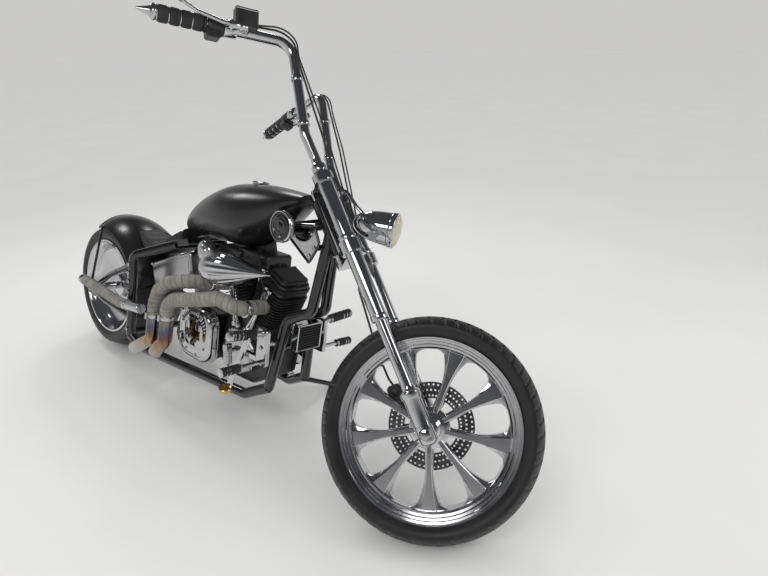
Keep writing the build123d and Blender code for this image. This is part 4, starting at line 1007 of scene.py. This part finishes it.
# Gear cover on the right, primary cover on the left, gearbox
coverAt = np.array([844.0, -110, 357])
coverOutline = roundedOutline(244, 246, 70, 14)
coverLevels = [(1.0, -2), (1.0, 4), (0.985, 8), (0.975, 14), (0.962, 22), (0.948, 30), (0.925, 38),
               (0.88, 43), (0.80, 45.5), (0.77, 45.5), (0.755, 43), (0.60, 43), (0.45, 44), (0.43, 46),
               (0.2, 46), (0.05, 46)]
coverShapes = [domeShape(coverOutline, coverLevels, coverAt, ahead, skyward)]
for k in range(17):
    swing = radians(20 + 8.5 * k)
    way = np.array([cos(swing), 0, sin(swing)])
    rib = [coverAt + way * reach + [0, drop, 0] for reach, drop in ((84, -45), (116, -38), (121, -12))]
    coverShapes.append(tubeShape(rib, 3.4, 8, 12, 4, 1.2))
coverShapes += screws([coverAt + np.array([95 * cos(swing), 0, 95 * sin(swing)])
                       for swing in np.radians(np.arange(15, 360, 45))], toRight, (40, 47, 48.5, 46),
                      (6, 5, 2.8))
makePiece("gear_cover_shell", coverShapes, chrome, "chassis", "gearbox_cover")
primaryAt = np.array([935.0, 186, 345])
slotOutline = roundedOutline(540, 210, 104.9, 24)
primaryLevels = [(1.0, 0), (1.0, 5), (0.992, 9), (0.985, 12), (0.975, 34), (0.955, 44), (0.92, 50),
                 (0.87, 52), (0.5, 52), (0.05, 52)]
primaryShapes = [domeShape(slotOutline, primaryLevels, primaryAt, ahead, (0, 0, -1))]
for x, size in ((1090, 74), (800, 52)):
    primaryShapes.append(latheShape([(40, size + 6), (52, size + 6), (54, size + 4), (54.5, size),
                                     (52.5, size - 2), (53.5, size - 8), (56, size - 12), (57.5, size * 0.5),
                                     (58, 0.4)], (x, 186, 345), toLeft, 80))
    reach = size * 0.86
    primaryShapes += screws([(x + reach * cos(swing), 186, 345 + reach * sin(swing))
                             for swing in np.radians(np.arange(0, 360, 72))], toLeft, (50, 55.5, 56.5, 55),
                            (5, 4, 2.4), 16)
primaryShapes += [latheShape([(76, 60), (188, 60)], (1090, 0, 350), toLeft, 64),
                  latheShape([(178, 30), (188, 30)], (780, 0, 355), toLeft, 48)]
makePiece("primary_shell", primaryShapes, chrome, "chassis", "primary_cover")
gearOutline = roundOutline([(-160, -55), (-140, -95), (118, -100), (126, -45), (118, 105), (-110, 125)], 18)
gearShapes = [plateShape(gearOutline, -92, 110, (800, 0, 345), inset=5)]
gearShapes += [plateShape(gearOutline * 1.014, low, low + 6, (800, 0, 345), inset=1)
               for low in range(-80, 71, 30)]
gearShapes += [latheShape([(90, 36), (150, 36)], (780, 0, 355), toLeft, 48),
               latheShape([(148, 36), (148, 42), (178, 42), (178, 36)], (780, 0, 355), toLeft, 64)]
makePiece("gearbox_body", gearShapes, engineBlack, "chassis", "gearbox")

# Exhaust: wound tape over both headers, open chrome ends, wound rail pipe with a bright tip
exhaust = {"out": -253.0, "bend": 45.0, "tape": 24.0, "wrap": (28.4, 1.5), "railWrap": (22.8, 1.4),
           "skin": 29.0, "bore": 26.0}
out = exhaust["out"]
headerRows = [[(950, -70, 600), (925, -172, 608), (868, -223, 600), (806, out, 580), (735, out, 531),
               (706, out, 465), (702, out, 398)],
              [(1200, -70, 572), (1190, -200, 578), (1112, -231, 600), (1020, out, 570), (850, out, 520),
               (806, out, 485), (802, out, 418)]]
lastLegs = [((-150, 0, -190), (52, 0, 34)), ((-76, 0, -168), (36, 0, 44))]


def woundTape(radius, lift):
    # each turn of tape stands a little proud of the one below: r = R + h*saw(s/p)
    return lambda s: radius + lift * np.mod(s / exhaust["tape"], 1.0)


def openPipe(points, skin, bore, sides=64):
    # a pipe with a rolled lip at its far end, hollow for the last 12 rows and closed behind them
    path, _ = resample(bentPath(points, 50), 4)
    outward = unit(np.gradient(path, axis=0))
    up = np.cross(toLeft, outward)
    angle = np.linspace(0, 2 * pi, sides, endpoint=False)
    ring = np.cos(angle)[:, None] * np.array(toLeft) + np.sin(angle)[:, None] * up[:, None]
    lip = [path[-1] + outward[-1] * beyond + radius * ring[-1]
           for beyond, radius in ((0, skin), (1.2, skin - 0.6), (1.2, bore + 0.6), (0, bore))]
    rows = [np.broadcast_to(path[0], (1, sides, 3)), path[:, None] + skin * ring, np.stack(lip),
            path[::-1][:12, None] + bore * ring[::-1][:12], np.broadcast_to(path[-12], (1, sides, 3))]
    return gridShape(np.concatenate(rows), closeCols=True)


clampRows = [(-9, 29), (-8.4, 31.6), (-7, 32.4), (7, 32.4), (8.4, 31.6), (9, 29)]
clampScrew = [(-14, 4), (-14, 5.4), (14, 5.4), (14, 4)]
wrapShapes, clampShapes, pipeShapes = [], [], []
for rows, (reach, lastLeg) in zip(headerRows, lastLegs):
    rows = np.array(rows, float)
    wrapShapes.append(tubeShape(rows, woundTape(*exhaust["wrap"]), exhaust["bend"], 48, 2.4, 1.5))
    start, end = rows[-1], rows[-1] + reach
    pipeShapes.append(openPipe([start, start - np.array([6, 0, 96]), end + lastLeg, end], exhaust["skin"],
                               exhaust["bore"]))
    for spot, way in ((start + [0, 0, 14], (0.06, 0, 1.0)), (rows[1] + [6, 34, -4], rows[1] - rows[0])):
        clampShapes += [latheShape(clampRows, spot, way, 48),
                        latheShape(clampScrew, spot + [0, -35.5, 0], way, 16)]
makePiece("header_wraps", wrapShapes, exhaustWrap, "chassis", "exhaust_headers", sharp=60)
makePiece("pipe_ends", pipeShapes, pipeChrome, "chassis", "exhaust_pipes", sharp=40)
bent, _ = resample(bentPath([(590, out, 402), (400, out, 375), (10, out, 386)], 200), 4)
cutAt = int(len(bent) * 0.22)
makePiece("rail_pipe_wrap", [tubeShape(bent[cutAt:], woundTape(*exhaust["railWrap"]), 0, 40, 2.4, 2)],
          exhaustWrap, "chassis", "tail_pipe", sharp=60)
joinRows = [(-8, 22), (-7, 24.6), (7, 24.6), (8, 22)]
tipShapes = [tubeShape(bent[:cutAt + 2], 22.4, 0, 48, 4, 2),
             latheShape(joinRows, bent[cutAt], bent[cutAt + 1] - bent[cutAt], 48),
             tubeShape(bent[-9:], 24.2, 0, 48, 4, 3)]
makePiece("rail_pipe_tip", tipShapes + clampShapes, chrome, "chassis")
boltShapes = screws([(415, 0, z) for z in (560, 520, 480, 430, 250)], toRight, (224, 229, 231, 228.5),
                    (9, 7, 4), 24)
makePiece("post_bolts", bothSides(boltShapes), chrome, "chassis")
print("exhaust ready")

# Front brake: drilled disc on a nine-armed carrier, caliper
disc = {"out": 148.0, "in": 92.0, "low": 54.0, "high": 60.0, "rows": 3, "holes": 54, "hole": 3.6, "arms": 9}


def drilledRing(settings):
    # cells of the ring, each a square of 16 edge points round a 16-point hole, on both faces
    rows, count = settings["rows"], settings["holes"]
    edges = np.linspace(settings["in"], settings["out"], rows + 1)
    corner = np.linspace(0, 1, 5)[:-1]
    none, full = 0 * corner, 1 + 0 * corner
    cell16 = np.concatenate([np.stack(side, -1) for side in (
        (corner, none), (full, corner), (1 - corner, full), (none, 1 - corner))])
    turnAngle = np.arctan2(cell16[:, 1] - 0.5, cell16[:, 0] - 0.5)[:, None]
    points, quads = [], []
    for row in range(rows):
        for cell in range(count):
            start = 2 * pi * (cell + 0.5 * (row % 2)) / count
            radius = edges[row] + cell16[:, 1] * (edges[row + 1] - edges[row])
            angle = start + cell16[:, 0] * 2 * pi / count
            square = np.stack([radius * np.cos(angle), radius * np.sin(angle)], -1)
            midAngle, midRadius = start + pi / count, (edges[row] + edges[row + 1]) / 2
            across = np.array([-sin(midAngle), cos(midAngle)])
            outward = np.array([cos(midAngle), sin(midAngle)])
            hole = (midRadius * outward
                    + settings["hole"] * (np.cos(turnAngle) * across + np.sin(turnAngle) * outward))
            base = len(points) * 64
            points.append(np.concatenate([np.column_stack([flat[:, 0], np.full(16, level), flat[:, 1]])
                                          for level in (settings["low"], settings["high"])
                                          for flat in (square, hole)]))
            k, n = np.arange(16), (np.arange(16) + 1) % 16
            quads += [base + np.stack([k, n, n + 16, k + 16], -1),
                      base + np.stack([k + 32, k + 48, n + 48, n + 32], -1),
                      base + np.stack([k + 16, n + 16, n + 48, k + 48], -1)]
            for edge, here in ((0, row == 0), (2, row == rows - 1)):
                if here:
                    k4 = np.arange(4) + 4 * edge
                    n4 = (k4 + 1) % 16
                    quads.append(base + np.stack([k4, k4 + 32, n4 + 32, n4], -1))
    points, quads = np.concatenate(points) + frontCentre, np.concatenate(quads)
    return points, [quads], [np.zeros((len(quads), 4, 2))]


def onDisc(radius, swing):
    return radius * cos(radians(swing)), radius * sin(radians(swing))


armTurns = [360 // disc["arms"] * k for k in range(disc["arms"])]
armOutline = [onDisc(radius, turn + swing) for turn in armTurns
              for radius, swing in ((48, -20), (54, -7.5), (96, -4.4), (96, 4.4), (54, 7.5))]
makePiece("disc_drilled", [drilledRing(disc)], discSteel, "front_wheel", "front_disc", sharp=30)
carrier = [plateShape(armOutline, -59.4, -54.6, frontCentre, inset=0.8),
           latheShape([(54, 16.5), (54, 50), (60, 50), (61, 48), (61, 16.5)], frontCentre, toLeft, 64, True)]
carrier += screws([frontCentre + np.insert(onDisc(95, turn), 1, 0) for turn in armTurns], toLeft,
                  (59, 63, 64, 62), (6.5, 5.4, 3))
makePiece("disc_carrier", carrier, engineBlack, "front_wheel")
caliperAt = forkPoint(128, -72, 66)
caliperShapes = [plateShape(roundedOutline(50, 96, 16), low, high, caliperAt, outFork0, upFork0, 3)
                 for low, high in ((-26, -1), (1.5, 26))]
pistonRows = [(24, 15), (28, 15), (29.5, 13), (29.5, 0.4)]
caliperShapes += [latheShape(pistonRows, caliperAt + upFork0 * along, way, 40)
                  for along in (-22, 22) for way in (toRight, toLeft)]
caliperShapes.append(plateShape(roundedOutline(70, 44, 8), -18, 18, forkPoint(128, -30, 94), outFork0,
                                upFork0, 3))
caliperShapes += screws([forkPoint(128 + along, -16, 94) for along in (-13, 13)], toRight,
                        (16, 22, 23.5, 21), (7, 5.6, 3.2), 24)
makePiece("caliper_body", caliperShapes, engineBlack, "fork", "front_caliper")
hosePath = [forkPoint(612, -20, 60), forkPoint(540, -60, 70), forkPoint(300, -84, 84),
            forkPoint(200, -80, 72), caliperAt + upFork0 * 44]
makePiece("hose_line", [tubeShape(hosePath, 4.0, 30, 16, 5, 0.6)], blackRubber, "fork", "brake_hose")

# Foot controls: bracket, ringed peg, rod and pedal on both sides, brake lever and cylinder on the right
peg = {"foot": np.array([1295.0, 159, 508]), "way": unit([0.05, 1, 0.12]), "rings": (104, 122, 138),
       "ribs": 9, "pitch": 11.4}
pedal = {"foot": np.array([1300.0, 250, 394]), "way": (0, 1, -0.02), "rings": (50, 64),
         "ribs": 7, "pitch": 10.4}


def onPeg(piece, rows, sides=40):
    return latheShape(rows, piece["foot"], piece["way"], sides)


bracketRows = roundOutline([(1268, 380), (1330, 380), (1322, 525), (1268, 525)], 12)
footMetal = [plateShape(bracketRows, -159, -141, inset=2.5),
             tubeShape([(1295, 60, 452), (1295, 150, 470)], 15, 0, 32, 6, 1.5),
             onPeg(peg, [(0, 12), (33, 12), (34, 16), (36, 19), (40, 19), (41, 17)]),
             onPeg(peg, [(144, 17), (145, 19.4), (148, 19.4), (150, 18.4), (156, 15), (158, 10),
                         (158.5, 0.4)]),
             tubeShape([(1300, 150, 396), (1300, 252, 394)], 9, 0, 32, 6, 1.5),
             onPeg(pedal, [(0, 9), (1, 16), (3, 17.2), (6, 17.2), (7, 15)]),
             onPeg(pedal, [(80, 15), (81, 17.2), (84, 17.2), (85, 14), (85.5, 0.4)])]
footMetal += screws([(1295, 0, 452), (1294, 0, 500), (1300, 0, 396)], toLeft,
                    (158, 162, 163.5, 161), (9, 7.5, 4), 6)
for piece, wide, inner, outer in ((peg, 2.6, 16, 19.6), (pedal, 2.4, 14, 17.7)):
    flat = wide - 0.6
    footMetal += [onPeg(piece, [(base - wide, inner), (base - flat, outer), (base + flat, outer),
                                (base + wide, inner)]) for base in piece["rings"]]
pegRib = [(0, 15.5), (1, 18.4), (2.6, 19), (8, 19), (9.6, 18.4), (10.6, 15.5)]
pedalRib = [(0, 14), (1, 16.4), (2.4, 17), (7.4, 17), (8.8, 16.4), (9.8, 14)]
pegRows = [(40.5, 14)] + repeatRows(pegRib, 41, peg["pitch"], peg["ribs"]) + [(144.5, 14)]
pedalRows = [(6.5, 13)] + repeatRows(pedalRib, 7, pedal["pitch"], pedal["ribs"]) + [(80.5, 13)]
footRubber = [onPeg(peg, pegRows, 48), onPeg(pedal, pedalRows, 48)]
leverPlate = roundOutline([(1300, 518), (1240, 390), (1206, 284), (1230, 274), (1268, 380), (1322, 508)], 9)
masterPlate = roundOutline([(1128, 384), (1272, 388), (1272, 410), (1128, 402)], 6)
rightMetal = [plateShape(leverPlate, 226, 236, inset=3), plateShape(masterPlate, 141, 160, inset=1.5),
              tubeShape([(1150, -200, 395), (1150, -152, 395)], 9, 0, 24, 6, 1),
              latheShape([(0, 9), (1, 14), (3, 17), (30, 17), (31, 15.4), (36, 15.4), (37, 17), (42, 17),
                          (43, 15.4), (48, 15.4), (49, 17), (77, 17), (80, 14), (81, 7)], (1148, -200, 426),
                         (12, 0, -80), 48)]
goldDisc = [latheShape([(0, 20), (1, 23), (8, 25), (14, 25), (16, 23), (16, 17), (13, 15), (13, 8), (17, 7),
                        (17.5, 0.4)], (1214, -242, 266), (0.1, -0.15, 1), 56)]
makePiece("foot_metal_left", footMetal, chrome, "chassis", "foot_control_left")
makePiece("foot_metal_right", [otherSide(s) for s in footMetal] + rightMetal, chrome, "chassis",
          "foot_control_right")
makePiece("foot_rubber", bothSides(footRubber), blackRubber, "chassis")
makePiece("pedal_disc", goldDisc, brass, "chassis")
print("controls ready")

# Everything else starts as its CAD solid with its own finish
finishOf = {
    glossPaint: ["frame_neck", "frame_backbone", "frame_downtubes", "frame_cradle", "frame_post_left",
                 "frame_post_right", "frame_crossbars", "rear_stay_left", "rear_stay_right", "side_stand"],
    chrome: ["lower_clamp", "upper_clamp", "rear_axle"],
    polishedAluminium: ["rear_pulley"],
    blackRubber: ["drive_belt"],
}
for material, names in finishOf.items():
    for node in names:
        dressNode(node, material)
print("solids dressed")

# Floor, light and camera
studio = {"floorHalf": 80, "floor": (0.86, 0.855, 0.845), "horizon": (0.598, 0.594, 0.588),
          "ceiling": (0.07, 0.072, 0.078), "around": (0.93, 0.93, 0.935), "aroundLevel": 0.81,
          "lamps": {"keyLamp": ((1.2, -2.55, 2.9), (0, -0.05, 0.5), (1.8, 0.9), 22),
                    "fillLamp": ((3.2, 1.45, 2.3), (0.3, 0.05, 0.5), (1.2, 1.2), 12),
                    "tankLamp": ((-2.29, -0.135, 2.81), (0.08, -0.065, 0.97), (0.5, 0.5), 11),
                    "rimLamp": ((-1.61, 1.695, 2.69), (-0.8, -0.045, 0.65), (0.6, 0.6), 11)}}


def addFloor():
    half = studio["floorHalf"]
    corners = [(x * half, y * half, 0) for x, y in ((-1, -1), (1, -1), (1, 1), (-1, 1))]
    mesh = bpy.data.meshes.new("floor")
    mesh.from_pydata(corners, [], [(0, 1, 2, 3)])
    floor = bpy.data.objects.new("floor", mesh)
    scene.collection.objects.link(floor)
    material, tree, shader = newMaterial("paleFloor")
    worn = tuple(0.97 * value for value in studio["floor"])
    cloud = mapRange(tree, addNoise(tree, 1.4, 5), 0, 1)
    feed(tree, shader["Base Color"], mixColours(tree, cloud, studio["floor"], worn))
    feed(tree, shader["Roughness"], 0.7)
    feed(tree, shader["Specular IOR Level"], 0.2)
    mesh.materials.append(material)


def addLamp(name, place, aim, size, watts):
    data = bpy.data.lights.new(name, "AREA")
    data.shape, data.size, data.size_y, data.energy = "RECTANGLE", size[0], size[1], watts
    lamp = bpy.data.objects.new(name, data)
    lamp.location = place
    lamp.rotation_euler = (Vector(aim) - Vector(place)).to_track_quat("-Z", "Y").to_euler()
    scene.collection.objects.link(lamp)


def addWorld():
    # pale to a little above the horizon and dark overhead where it is seen or mirrored, and even all round
    # as plain light
    world = bpy.data.worlds.new("studio")
    scene.world = world
    world.use_nodes = True
    tree = world.node_tree
    sky = tree.nodes["Background"].inputs
    way = addNode(tree, "TexCoord", {})["Generated"]
    climb = mapRange(tree, addNode(tree, "SeparateXYZ", {"Vector": way})["Z"], 0, 1, 0.12, 0.5)
    backdrop = mixColours(tree, climb, studio["horizon"], studio["ceiling"])
    rays = addNode(tree, "LightPath", {})
    seen = rays["Is Camera Ray"]
    for kind in ("Is Glossy Ray", "Is Transmission Ray"):
        seen = compute(tree, "MAXIMUM", seen, rays[kind])
    feed(tree, sky["Color"], mixColours(tree, seen, studio["around"], backdrop))
    feed(tree, sky["Strength"], mapRange(tree, seen, studio["aroundLevel"], 1.0, 0.0, 1.0))


addFloor()
for name, values in studio["lamps"].items():
    addLamp(name, *values)
addWorld()

# The photograph's own camera, worked out from its wheels and fork
view = {"spot": (1.7557, -1.2424, 1.4856), "heading": 130.07, "dip": 24.88, "roll": 1.27, "focal": 525.8,
        "width": 768, "sensor": 36}
heading, dip, roll = (radians(view[key]) for key in ("heading", "dip", "roll"))
lookWay = np.array([cos(heading) * cos(dip), sin(heading) * cos(dip), -sin(dip)])
rightWay = np.array([sin(heading), -cos(heading), 0])
downWay = np.cross(lookWay, rightWay)
rolledRight = rightWay * cos(roll) + downWay * sin(roll)
rolledDown = -rightWay * sin(roll) + downWay * cos(roll)
cameraData = bpy.data.cameras.new("photoCamera")
camera = bpy.data.objects.new("photoCamera", cameraData)
cameraData.sensor_width = view["sensor"]
cameraData.lens = view["sensor"] * view["focal"] / view["width"]
cameraData.clip_end = 250
camera.matrix_world = Matrix(np.vstack([np.column_stack([rolledRight, -rolledDown, -lookWay, view["spot"]]),
                                        [0, 0, 0, 1]]).tolist())
scene.collection.objects.link(camera)
scene.camera = camera
scene.view_settings.view_transform = "Standard"

print("scene ready")
